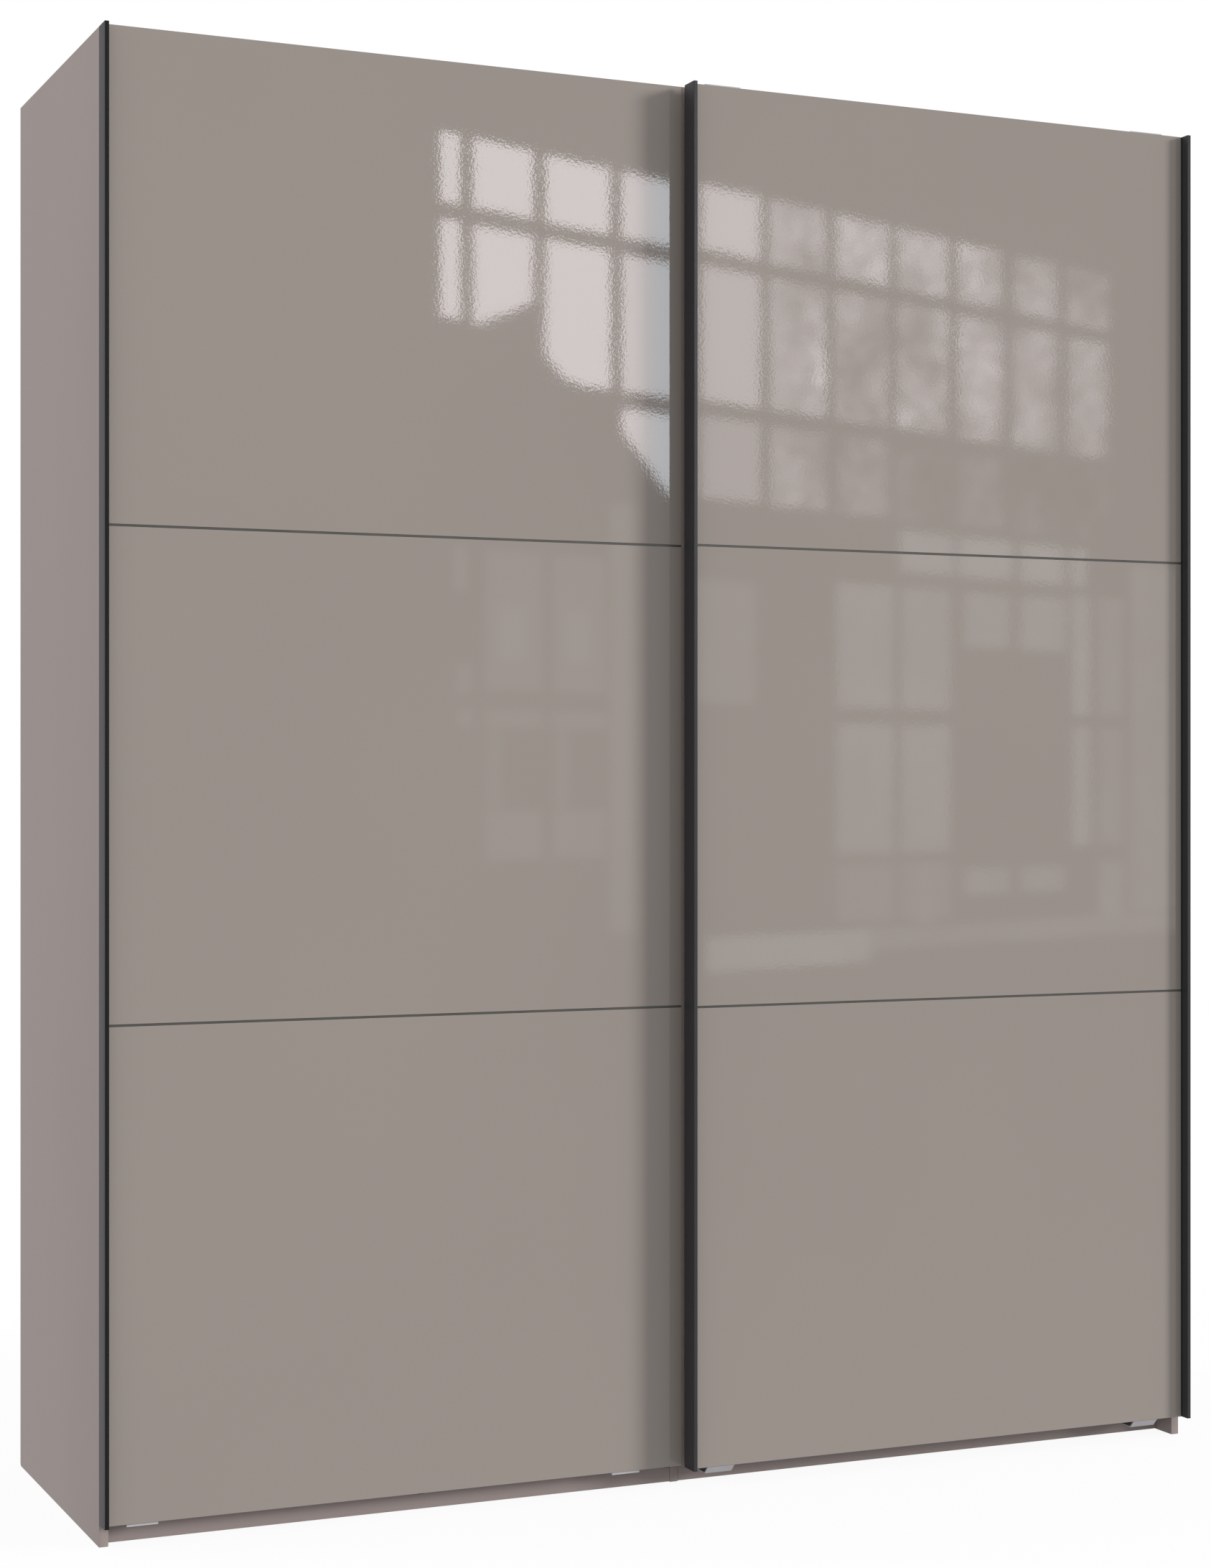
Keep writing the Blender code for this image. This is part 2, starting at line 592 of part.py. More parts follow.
def build_right_door(parts, guides, looks):
    """The front door, closed over the right bay."""
    x_low = RIGHT_X - DOOR_WIDTH
    empty = add_slide_empty("right_door", x_low, RIGHT_TRACK_Y)
    build_door_leaf("right", x_low, RIGHT_GLASS_Y, "right_door_left_profile",
                    "right_door_right_profile", parts, looks, empty)
    centres = [LEFT_X + x for x in RIGHT_HANGERS_X]
    board_back = RIGHT_GLASS_Y + GLASS + CARRIER
    for index, x in enumerate(centres, start=1):
        build_hanger("right_door_hanger_{}".format(index), x, board_back, RIGHT_TRACK_Y, True,
                     parts, guides, looks["steel"], empty)
        add_wheel("right_door_wheel_{}".format(index), x, RIGHT_TRACK_Y, parts, looks["nylon"],
                  empty)
    build_guides("right", centres, right_guide_outline(RIGHT_SLOT_Y), RIGHT_SLOT_Y, parts, looks,
                 empty)


def build_materials():
    """One material for each kind of surface."""
    return {
        "laminate": principled("laminate", LAMINATE, 0.55),
        "back": principled("back_board", BACK_BOARD, 0.70),
        "board": principled("door_board", LAMINATE, 0.60),
        "glass": principled("painted_glass", GLASS_TAUPE, 0.05),
        "divider": principled("divider", DIVIDER_GREEN, 0.30),
        "trim": principled("edge_trim", LAMINATE, 0.40),
        "graphite": principled("graphite_profile", GRAPHITE, 0.35, 0.6),
        "aluminium": principled("aluminium_rail", ALUMINIUM, 0.35, 1.0),
        "chrome": principled("chrome", CHROME, 0.12, 1.0),
        "plastic": principled("black_plastic", BLACK_PLASTIC, 0.45),
        "nylon": principled("white_nylon", WHITE_NYLON, 0.40),
        "steel": principled("light_grey_steel", LIGHT_GREY_STEEL, 0.40, 0.2),
    }


def main():
    clear_scene()
    parts = new_collection("sliding_door_wardrobe")
    guides = new_collection("cutters")
    looks = build_materials()
    build_side_panels(parts, looks["laminate"])
    build_centre_partition(parts, looks["laminate"])
    build_bays(parts, looks)
    build_clothes_rails(parts, guides, looks)
    build_top_running_rail(parts, looks["aluminium"])
    build_rail_end_stops(parts, looks["plastic"])
    build_bottom_guide_rail(parts, looks["aluminium"])
    build_catches(parts, looks["plastic"])
    build_left_door(parts, guides, looks)
    build_right_door(parts, guides, looks)


main()
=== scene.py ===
"""Looks of the sliding door wardrobe: materials, fine pieces, studio and camera."""

import json
from math import cos, pi, radians, sin

import bmesh
import bpy
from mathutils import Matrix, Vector


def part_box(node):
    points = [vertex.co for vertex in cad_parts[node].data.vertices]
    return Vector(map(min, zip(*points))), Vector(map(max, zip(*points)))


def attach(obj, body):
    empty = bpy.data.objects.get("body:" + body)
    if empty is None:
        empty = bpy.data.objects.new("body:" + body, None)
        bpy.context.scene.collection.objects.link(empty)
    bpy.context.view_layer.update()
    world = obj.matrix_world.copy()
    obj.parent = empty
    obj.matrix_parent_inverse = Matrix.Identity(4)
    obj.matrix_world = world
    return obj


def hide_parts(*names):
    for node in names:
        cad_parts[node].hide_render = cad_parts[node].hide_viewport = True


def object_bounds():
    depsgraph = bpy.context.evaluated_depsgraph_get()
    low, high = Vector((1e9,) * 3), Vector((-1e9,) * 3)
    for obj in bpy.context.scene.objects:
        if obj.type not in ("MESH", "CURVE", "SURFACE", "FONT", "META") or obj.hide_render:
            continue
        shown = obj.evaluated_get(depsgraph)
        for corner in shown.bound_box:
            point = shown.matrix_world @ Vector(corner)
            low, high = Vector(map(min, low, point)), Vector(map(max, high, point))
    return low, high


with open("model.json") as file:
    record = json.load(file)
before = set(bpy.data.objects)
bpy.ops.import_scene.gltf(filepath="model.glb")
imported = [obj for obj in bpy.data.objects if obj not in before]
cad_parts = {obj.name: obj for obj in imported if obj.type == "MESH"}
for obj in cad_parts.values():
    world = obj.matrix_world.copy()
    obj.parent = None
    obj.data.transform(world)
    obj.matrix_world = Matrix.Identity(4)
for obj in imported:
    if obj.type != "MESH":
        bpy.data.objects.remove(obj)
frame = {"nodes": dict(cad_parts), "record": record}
cad_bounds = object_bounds()

NODES = frame["nodes"]
SLOT_OF = {part["node"]: part["material_slot"] for part in frame["record"]["subparts"]}
SIDES = ("left", "right")
FIT = 0.0003

# ---------------------------------------------------------------- colours (linear RGB)
TAUPE_GLASS = (0.286, 0.249, 0.224)
TAUPE_LAMINATE = (0.290, 0.2415, 0.2275)
TAUPE_TRIM = (0.270, 0.226, 0.206)
BACK_FOIL = (0.360, 0.320, 0.300)
RAW_HARDBOARD = (0.330, 0.205, 0.115)
GRAPHITE = (0.043, 0.042, 0.044)
DIVIDER = (0.077, 0.076, 0.068)
ALUMINIUM = (0.640, 0.645, 0.655)
CHROME = (0.780, 0.785, 0.795)
BLACK = (0.018, 0.018, 0.019)
NYLON = (0.760, 0.745, 0.700)
STEEL_GREY = (0.490, 0.473, 0.497)
ZINC_PLATE = (0.62, 0.62, 0.60)


# ---------------------------------------------------------------- shader helpers
def start_material(name):
    """A new material with its Principled shader and object coordinates."""
    material = bpy.data.materials.new(name)
    material.use_nodes = True
    tree = material.node_tree
    shader = tree.nodes["Principled BSDF"]
    coords = tree.nodes.new("ShaderNodeTexCoord").outputs["Object"]
    return material, tree, shader, coords


def stretched(tree, coords, scale):
    """Coordinates multiplied by a different factor along each axis."""
    mapping = tree.nodes.new("ShaderNodeMapping")
    mapping.inputs["Scale"].default_value = scale
    tree.links.new(coords, mapping.inputs["Vector"])
    return mapping.outputs["Vector"]


def noise(tree, coords, scale, detail=3.0, roughness=0.5):
    """A noise value that varies about one half."""
    texture = tree.nodes.new("ShaderNodeTexNoise")
    texture.inputs["Scale"].default_value = scale
    texture.inputs["Detail"].default_value = detail
    texture.inputs["Roughness"].default_value = roughness
    tree.links.new(coords, texture.inputs["Vector"])
    return texture.outputs["Fac"]


def spread(tree, value, low, high, from_low=0.3, from_high=0.7):
    """A value moved into another range."""
    remap = tree.nodes.new("ShaderNodeMapRange")
    remap.inputs["From Min"].default_value = from_low
    remap.inputs["From Max"].default_value = from_high
    remap.inputs["To Min"].default_value = low
    remap.inputs["To Max"].default_value = high
    tree.links.new(value, remap.inputs["Value"])
    return remap.outputs["Result"]


def mixed_colour(tree, factor, first, second):
    """Two colours mixed by a factor output."""
    mix = tree.nodes.new("ShaderNodeMix")
    mix.data_type = "RGBA"
    tree.links.new(factor, mix.inputs["Factor"])
    for socket, colour in ((mix.inputs[6], first), (mix.inputs[7], second)):
        if hasattr(colour, "links"):
            tree.links.new(colour, socket)
        else:
            socket.default_value = (*colour, 1.0)
    return mix.outputs[2]


def scaled(colour, factor):
    """A colour made lighter or darker."""
    return tuple(channel * factor for channel in colour)


def add_bump(tree, shader, height, distance, strength=1.0, under=None):
    """Bump from a height output, over an earlier bump if there is one."""
    bump = tree.nodes.new("ShaderNodeBump")
    bump.inputs["Distance"].default_value = distance
    bump.inputs["Strength"].default_value = strength
    tree.links.new(height, bump.inputs["Height"])
    if under is not None:
        tree.links.new(under, bump.inputs["Normal"])
    tree.links.new(bump.outputs["Normal"], shader.inputs["Normal"])
    return bump.outputs["Normal"]


# ---------------------------------------------------------------- materials
def painted_glass():
    """Float glass painted on its rear face: deep gloss with a slight orange peel."""
    material, tree, shader, coords = start_material("painted_glass")
    cloud = spread(tree, noise(tree, coords, scale=1.6, detail=2.0), 0.0, 1.0)
    colour = mixed_colour(tree, cloud, scaled(TAUPE_GLASS, 0.985), scaled(TAUPE_GLASS, 1.015))
    tree.links.new(colour, shader.inputs["Base Color"])
    smear_scale = (5.0, 5.0, 2.0)
    smear = noise(tree, stretched(tree, coords, smear_scale), scale=1.0, detail=4.0)
    tree.links.new(spread(tree, smear, low=0.020, high=0.038), shader.inputs["Roughness"])
    shader.inputs["IOR"].default_value = 1.52
    waves = noise(tree, coords, scale=9.0, detail=1.0)
    long_wave = add_bump(tree, shader, waves, distance=0.00003)
    peel = noise(tree, coords, scale=235.0, detail=2.0)
    add_bump(tree, shader, peel, distance=0.0000155, under=long_wave)
    return material


def laminate(name, colour, roughness=0.46, grain=0.00005):
    """Matt melamine laminate with a fine pearl grain and slight cloudiness."""
    material, tree, shader, coords = start_material(name)
    cloud = spread(tree, noise(tree, coords, scale=2.2, detail=3.0), 0.0, 1.0)
    fleck = spread(tree, noise(tree, coords, scale=700.0, detail=3.0, roughness=0.6), 0.0, 1.0)
    base = mixed_colour(tree, cloud, scaled(colour, 0.975), scaled(colour, 1.025))
    dotted = mixed_colour(tree, fleck, scaled(colour, 0.95), base)
    tree.links.new(dotted, shader.inputs["Base Color"])
    tree.links.new(spread(tree, fleck, roughness - 0.05, roughness + 0.07, from_low=0.0,
                          from_high=1.0), shader.inputs["Roughness"])
    shader.inputs["Specular IOR Level"].default_value = 0.3
    pearl = noise(tree, coords, scale=520.0, detail=4.0, roughness=0.55)
    add_bump(tree, shader, pearl, grain, strength=0.6)
    return material


def back_foil():
    """Hardboard with foil on its front and raw brown fibre on its rear."""
    material, tree, shader, coords = start_material("back_foil")
    fibre_scale = (260.0, 260.0, 60.0)
    fibre = noise(tree, stretched(tree, coords, fibre_scale), scale=1.0, detail=4.0, roughness=0.6)
    cloud = spread(tree, noise(tree, coords, scale=3.0, detail=3.0), 0.0, 1.0)
    base = mixed_colour(tree, cloud, scaled(BACK_FOIL, 0.95), scaled(BACK_FOIL, 1.04))
    fibred = mixed_colour(tree, spread(tree, fibre, 0.0, 1.0), scaled(BACK_FOIL, 0.90), base)
    raw = mixed_colour(tree, spread(tree, fibre, 0.0, 1.0), scaled(RAW_HARDBOARD, 0.72),
                       mixed_colour(tree, cloud, scaled(RAW_HARDBOARD, 0.93),
                                    scaled(RAW_HARDBOARD, 1.06)))
    split = tree.nodes.new("ShaderNodeSeparateXYZ")
    tree.links.new(coords, split.inputs["Vector"])
    leaf_low, leaf_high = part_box("back_panel_left")
    middle = (leaf_low.y + leaf_high.y) / 2
    step = 0.0001
    rear = spread(tree, split.outputs["Y"], 0.0, 1.0, from_low=middle - step,
                  from_high=middle + step)
    tree.links.new(mixed_colour(tree, rear, fibred, raw), shader.inputs["Base Color"])
    tree.links.new(spread(tree, fibre, low=0.60, high=0.78), shader.inputs["Roughness"])
    add_bump(tree, shader, fibre, distance=0.00012, strength=0.5)
    return material


def drawn_metal(name, colour, metallic, roughness, along, line=900.0, depth=0.000012,
                gloss=0.5):
    """Metal with fine lines along one axis, from drawing or brushing."""
    material, tree, shader, coords = start_material(name)
    lengthwise = 6.0
    scale = [line, line, line]
    scale["xyz".index(along)] = lengthwise
    lines = noise(tree, stretched(tree, coords, scale), scale=1.0, detail=3.0, roughness=0.6)
    patch = spread(tree, noise(tree, coords, scale=7.0, detail=3.0), 0.0, 1.0)
    toned = mixed_colour(tree, patch, scaled(colour, 0.94), scaled(colour, 1.05))
    lined = mixed_colour(tree, spread(tree, lines, 0.0, 1.0), scaled(colour, 0.88), toned)
    tree.links.new(lined, shader.inputs["Base Color"])
    tree.links.new(spread(tree, lines, roughness - 0.06, roughness + 0.08),
                   shader.inputs["Roughness"])
    shader.inputs["Metallic"].default_value = metallic
    shader.inputs["Specular IOR Level"].default_value = gloss
    add_bump(tree, shader, lines, depth, strength=0.7)
    return material


def moulded(name, colour, roughness, pebble=900.0, depth=0.00003, weight=0.0):
    """Moulded plastic or coated sheet with a fine pebbled skin."""
    material, tree, shader, coords = start_material(name)
    skin = noise(tree, coords, scale=pebble, detail=3.0, roughness=0.55)
    patch = spread(tree, noise(tree, coords, scale=25.0, detail=3.0), 0.0, 1.0)
    toned = mixed_colour(tree, patch, scaled(colour, 0.93), scaled(colour, 1.06))
    tree.links.new(toned, shader.inputs["Base Color"])
    tree.links.new(spread(tree, skin, roughness - 0.06, roughness + 0.08),
                   shader.inputs["Roughness"])
    shader.inputs["Subsurface Weight"].default_value = weight
    shader.inputs["Subsurface Scale"].default_value = 0.002
    add_bump(tree, shader, skin, depth, strength=0.6)
    return material


LOOKS = {
    "laminate": laminate("laminate", TAUPE_LAMINATE),
    "back_board": back_foil(),
    "door_board": laminate("door_board", scaled(TAUPE_LAMINATE, 0.92), roughness=0.55),
    "painted_glass": painted_glass(),
    "divider": drawn_metal("divider", DIVIDER, 0.0, roughness=0.34, along="x"),
    "edge_trim": laminate("edge_trim", TAUPE_TRIM, roughness=0.36, grain=0.00002),
    "graphite": drawn_metal("graphite_profile", GRAPHITE, 0.25, roughness=0.38, along="z"),
    "aluminium": drawn_metal("aluminium_rail", ALUMINIUM, 1.0, roughness=0.34, along="x"),
    "chrome": drawn_metal("chrome", CHROME, 1.0, roughness=0.16, along="x", line=400.0,
                          depth=0.000004),
    "black_plastic": moulded("black_plastic", BLACK, roughness=0.45),
    "nylon": moulded("nylon", NYLON, roughness=0.42, pebble=700.0, depth=0.00002, weight=0.15),
    "grey_steel": moulded("grey_steel", STEEL_GREY, roughness=0.44, pebble=600.0,
                          depth=0.00004),
}
# Two copies of one graphite for the left door's edge profile: a darker front face that is painted
# shade, and a lighter outward side face that is painted light.
PROFILE_FRONT_PAINTED_SHADE = drawn_metal("profile_front_painted_shade", scaled(GRAPHITE, 0.25), 0.0, roughness=0.36,
                           along="z", gloss=0.22)
PROFILE_SIDE_PAINTED_LIGHT = drawn_metal("profile_side_painted_light", scaled(GRAPHITE, 1.15), 0.05, roughness=0.38,
                           along="z", gloss=0.30)
ZINC = drawn_metal("zinc_plate", ZINC_PLATE, 1.0, roughness=0.30, along="z", line=300.0,
                   depth=0.000006)
EDGE_BAND = moulded("edge_band", scaled(TAUPE_LAMINATE, 1.09), roughness=0.38, pebble=1200.0,
                    depth=0.00001)


# ---------------------------------------------------------------- piece helpers
SMOOTH_BELOW = radians(35)
CORNER_ABOVE = radians(40)
MERGE = 0.000001
SAME_PLANE = 0.000002


def finish_piece(name, mesh, slot, body, replaced=(), look=None):
    """Link a mesh as a piece with its material, body and replaced nodes."""
    piece = bpy.data.objects.new(name, mesh)
    bpy.context.scene.collection.objects.link(piece)
    mesh.materials.clear()
    mesh.materials.append(look or LOOKS[slot])
    mesh.shade_smooth()
    mesh.set_sharp_from_angle(angle=SMOOTH_BELOW)
    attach(piece, body)
    if replaced:
        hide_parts(*replaced)
    return piece


def rounded_box(name, low, high, slot, body, radius=0.0008, replaced=(), look=None):
    """A box between two corners whose edges are all rounded."""
    widest_share = 0.45
    solid = bmesh.new()
    bmesh.ops.create_cube(solid, size=1.0)
    size = Vector(high) - Vector(low)
    bmesh.ops.scale(solid, vec=size, verts=solid.verts)
    bmesh.ops.translate(solid, vec=(Vector(high) + Vector(low)) / 2, verts=solid.verts)
    bmesh.ops.bevel(solid, geom=solid.edges[:], offset=min(radius, min(size) * widest_share),
                    segments=3, profile=0.5, affect="EDGES", clamp_overlap=True)
    mesh = bpy.data.meshes.new(name)
    solid.to_mesh(mesh)
    solid.free()
    finish_piece(name, mesh, slot, body, replaced, look)


def filled_mesh(outlines, thickness):
    """Flat outlines, the later ones holes in the first, filled and given a thickness."""
    curve = bpy.data.curves.new("outline", "CURVE")
    curve.dimensions = "2D"
    curve.fill_mode = "BOTH"
    curve.extrude = thickness / 2
    for points in outlines:
        spline = curve.splines.new("POLY")
        spline.points.add(len(points) - 1)
        for point, (a, b) in zip(spline.points, points):
            point.co = (a, b, 0.0, 1.0)
        spline.use_cyclic_u = True
    holder = bpy.data.objects.new("outline", curve)
    bpy.context.scene.collection.objects.link(holder)
    graph = bpy.context.evaluated_depsgraph_get()
    mesh = bpy.data.meshes.new_from_object(holder.evaluated_get(graph))
    bpy.data.objects.remove(holder)
    return mesh


def layered(name, layers, axis, slot, body, edge=0.0, replaced=(), look=None, shift=(0, 0, 0)):
    """Layers of (outlines, low, high) stacked along an axis, outer edges broken by edge.

    An outline's two coordinates are the two other axes in X, Y, Z order.
    """
    whole = bpy.data.meshes.new(name)
    solid = bmesh.new()
    planes = (min(low for _, low, _ in layers), max(high for _, _, high in layers))
    for outlines, low, high in layers:
        mesh = filled_mesh(outlines, high - low)
        layer = bmesh.new()
        layer.from_mesh(mesh)
        bpy.data.meshes.remove(mesh)
        bmesh.ops.remove_doubles(layer, verts=layer.verts, dist=MERGE)
        for vertex in layer.verts:
            vertex.co.z += (high + low) / 2
        if edge:
            rim = {(round(a, 6), round(b, 6)) for a, b in outlines[0]}
            ends = [z for z in (low, high) if z in planes]
            broken = [e for e in layer.edges if len(e.link_faces) == 2
                      and e.calc_face_angle(0.0) > CORNER_ABOVE
                      and all((round(v.co.x, 6), round(v.co.y, 6)) in rim for v in e.verts)
                      and any(all(abs(v.co.z - z) < SAME_PLANE for v in e.verts) for z in ends)]
            bmesh.ops.bevel(layer, geom=broken, offset=edge, segments=2, profile=0.5,
                            affect="EDGES", clamp_overlap=True)
        bmesh.ops.recalc_face_normals(layer, faces=layer.faces)
        layer.to_mesh(whole)
        layer.free()
        solid.from_mesh(whole)
    for vertex in solid.verts:
        a, b, c = vertex.co
        vertex.co = Vector({"x": (c, a, b), "y": (a, c, b), "z": (a, b, c)}[axis]) + Vector(shift)
    if axis == "y":
        bmesh.ops.reverse_faces(solid, faces=solid.faces)
    solid.to_mesh(whole)
    solid.free()
    return finish_piece(name, whole, slot, body, replaced, look)


def circle(centre, radius, count=16):
    """Points of a circle."""
    return [(centre[0] + radius * cos(2 * pi * k / count),
             centre[1] + radius * sin(2 * pi * k / count)) for k in range(count)]


def stadium(centre, height, width, steps=10):
    """Points of an upright oval with straight sides."""
    radius = width / 2
    reach = height / 2 - radius
    points = []
    for side, start in ((1, 0.0), (-1, pi)):
        for step in range(steps + 1):
            angle = start + pi * step / steps
            points.append((centre[0] + radius * cos(angle),
                           centre[1] + side * reach + radius * sin(angle)))
    return points


def cross(size, arm):
    """Points of a plus-shaped driver recess."""
    s, a = size, arm
    return [(s, -a), (s, a), (a, a), (a, s), (-a, s), (-a, a),
            (-s, a), (-s, -a), (-a, -a), (-a, -s), (a, -s), (a, -a)]


def turned(name, profile, centre, axis, slot, body, steps=40, replaced=(), look=None):
    """A closed (radius, along) profile turned about an axis through centre."""
    solid = bmesh.new()
    rings = []
    for k in range(steps):
        angle = 2 * pi * k / steps
        ring = []
        for radius, along in profile:
            a, b = radius * cos(angle), radius * sin(angle)
            offset = {"x": (along, a, b), "y": (a, along, b), "z": (a, b, along)}[axis]
            ring.append(solid.verts.new(Vector(centre) + Vector(offset)))
        rings.append(ring)
    for ring, after in zip(rings, rings[1:] + rings[:1]):
        for j in range(len(profile)):
            n = (j + 1) % len(profile)
            solid.faces.new((ring[j], ring[n], after[n], after[j]))
    bmesh.ops.remove_doubles(solid, verts=solid.verts, dist=MERGE)
    bmesh.ops.recalc_face_normals(solid, faces=solid.faces)
    mesh = bpy.data.meshes.new(name)
    solid.to_mesh(mesh)
    solid.free()
    finish_piece(name, mesh, slot, body, replaced, look)


def add_screw(name, centre, axis, side, body, radius=0.0035, height=0.0016):
    """A cross-head screw: a solid foot and a head layer with a driver recess."""
    sunk = 0.0004
    outline = circle((0, 0), radius, 20)
    recess = cross(size=radius * 0.58, arm=radius * 0.16)
    recess_floor = side * height * 0.45
    foot = sorted((-side * sunk, recess_floor))
    head = sorted((recess_floor, side * height))
    layered(name, [([outline], *foot), ([outline, recess], *head)], axis, "grey_steel", body,
            edge=height * 0.3, look=ZINC, shift=centre)


# ---------------------------------------------------------------- CAD nodes keep their shape
for node_name, node_object in NODES.items():
    node_object.data.materials.clear()
    node_object.data.materials.append(LOOKS[SLOT_OF[node_name]])


# ---------------------------------------------------------------- carcass pieces
HOLE_PITCH = 0.032
HOLE_RADIUS = 0.0025
HOLE_ROWS_Z = (0.30, 1.90)
HOLE_COLUMN_INSET = 0.045
HOLE_DEPTH = 0.006
BAND = 0.0003
BOARD_EDGE = 0.0005
LEFT_TRACK_Y = (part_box("left_door_wheel_1")[0].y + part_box("left_door_wheel_1")[1].y) / 2
RIGHT_TRACK_Y = (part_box("right_door_wheel_1")[0].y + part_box("right_door_wheel_1")[1].y) / 2


def hole_outlines(front, back):
    """Outlines of the two columns of shelf-pin holes of a panel."""
    count = int((HOLE_ROWS_Z[1] - HOLE_ROWS_Z[0]) / HOLE_PITCH) + 1
    return [circle((y, HOLE_ROWS_Z[0] + HOLE_PITCH * k), HOLE_RADIUS, count=12)
            for y in (front + HOLE_COLUMN_INSET, back - HOLE_COLUMN_INSET) for k in range(count)]


def build_drilled_panels():
    """Side panels and partition with their rows of pin holes, drilled part of the way."""
    leaf_low, leaf_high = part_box("bottom_panel_left")
    holes = hole_outlines(leaf_low.y, leaf_high.y)
    foot_corner = 0.004
    for side in SIDES:
        node = "side_panel_" + side
        low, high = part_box(node)
        outline = [(low.y, low.z), (high.y - foot_corner, low.z),
                   (high.y, low.z + foot_corner), (high.y, high.z), (low.y, high.z)]
        if side == "left":
            split = high.x - HOLE_DEPTH
            layers = [([outline], low.x, split), ([outline] + holes, split, high.x)]
        else:
            split = low.x + HOLE_DEPTH
            layers = [([outline] + holes, low.x, split), ([outline], split, high.x)]
        layered(node + "_board", layers, "x", "laminate", "carcass", BOARD_EDGE, replaced=[node])
    low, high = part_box("centre_partition")
    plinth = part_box("plinth_left")
    outline = [(plinth[0].y, low.z), (high.y, low.z), (high.y, high.z), (low.y, high.z),
               (low.y, leaf_low.z), (plinth[0].y, leaf_low.z)]
    splits = (low.x + HOLE_DEPTH, high.x - HOLE_DEPTH)
    layered("centre_partition_board",
            [([outline] + holes, low.x, splits[0]), ([outline], splits[0], splits[1]),
             ([outline] + holes, splits[1], high.x)],
            "x", "laminate", "carcass", BOARD_EDGE, replaced=["centre_partition"])


def build_edge_bands():
    """Thin plastic bands glued on the front edges of the boards."""
    inset = 0.0001
    foot_gap = 0.0006
    for side in SIDES:
        low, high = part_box("side_panel_" + side)
        rounded_box("edge_band_side_" + side, (low.x + inset, low.y - BAND, low.z + foot_gap),
                    (high.x - inset, low.y + BAND, high.z - inset), "laminate", "carcass",
                    look=EDGE_BAND)
    for node in ("centre_partition", "top_panel_left", "top_panel_right", "bottom_panel_left",
                 "bottom_panel_right", "hat_shelf_left", "hat_shelf_right"):
        low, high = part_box(node)
        bottom = low.z
        if node == "centre_partition":
            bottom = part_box("bottom_panel_left")[0].z
        rounded_box("edge_band_" + node, (low.x + inset, low.y - BAND, bottom + inset),
                    (high.x - inset, low.y + BAND, high.z - inset), "laminate", "carcass",
                    look=EDGE_BAND)


def build_shelf_pins(side):
    """Steel pins with a collar under the corners of one hat shelf."""
    pin = [(0.0, -0.005), (0.0024, -0.005), (0.0024, 0.0), (0.0040, 0.0), (0.0040, 0.0009),
           (0.0025, 0.0012), (0.0025, 0.0070), (0.0019, 0.0078), (0.0, 0.0078)]
    low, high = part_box("hat_shelf_" + side)
    pin_z = low.z - HOLE_RADIUS
    for end, x, inward in (("a", low.x - FIT, 1), ("b", high.x + FIT, -1)):
        profile = [(radius, inward * along) for radius, along in pin]
        for place, y in (("front", low.y + HOLE_COLUMN_INSET),
                         ("rear", high.y - HOLE_COLUMN_INSET)):
            turned("shelf_pin_{}_{}_{}".format(side, end, place), profile, (x, y, pin_z),
                   "x", "grey_steel", "carcass", steps=20, look=ZINC)


def build_cam_covers(side):
    """Round covers over the cam fittings under one top panel, each with a driver recess."""
    side_inset = 0.034
    edge_inset = 0.05
    cover_radius = 0.0085
    rim = 0.0004
    dish = 0.0008
    lift = 0.0003
    outline = circle((0, 0), cover_radius, count=28)
    recess = cross(size=0.0030, arm=0.0007)
    low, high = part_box("top_panel_" + side)
    for end, x in (("a", low.x + side_inset), ("b", high.x - side_inset)):
        for place, y in (("front", low.y + edge_inset), ("middle", (low.y + high.y) / 2),
                         ("rear", high.y - edge_inset)):
            layered("cam_cover_{}_{}_{}".format(side, end, place),
                    [([outline], 0.0, rim), ([outline, recess], -dish, 0.0)],
                    "z", "laminate", "carcass", edge=0.0003, look=EDGE_BAND,
                    shift=(x, y, low.z - lift))


def build_rail_sockets():
    """Clothes rail sockets with a thin screwed flange and a cup around the rail."""
    cup_wall = 0.004
    ear = 0.011
    cup_floor = 0.0028
    flange_thickness = 0.0016
    screw_rise = 0.0052
    for side in SIDES:
        for end, inward in (("left", 1), ("right", -1)):
            node = "rail_socket_{}_{}".format(side, end)
            low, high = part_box(node)
            y, z = (low.y + high.y) / 2, (low.z + high.z) / 2
            face = low.x if inward == 1 else high.x
            rim = high.x if inward == 1 else low.x
            tall, wide = high.z - low.z, high.y - low.y
            cup = stadium((y, z), tall, wide)
            bore = stadium((y, z), tall - 2 * cup_wall, wide - 2 * cup_wall)
            flange = stadium((y, z), tall + 2 * ear, wide)
            seat = face + inward * cup_floor
            flange_face = face + inward * flange_thickness
            layered(node + "_cup", [([cup], *sorted((face, seat))),
                                    ([cup, bore], *sorted((seat, rim)))],
                    "x", "chrome", "carcass", edge=0.0008, replaced=[node])
            layered(node + "_flange", [([flange], *sorted((face, flange_face)))],
                    "x", "chrome", "carcass", edge=0.0005)
            for place, dz in (("top", tall / 2 + screw_rise), ("bottom", -tall / 2 - screw_rise)):
                add_screw("{}_screw_{}".format(node, place), (flange_face, y, z + dz), "x",
                          inward, "carcass", radius=0.003)


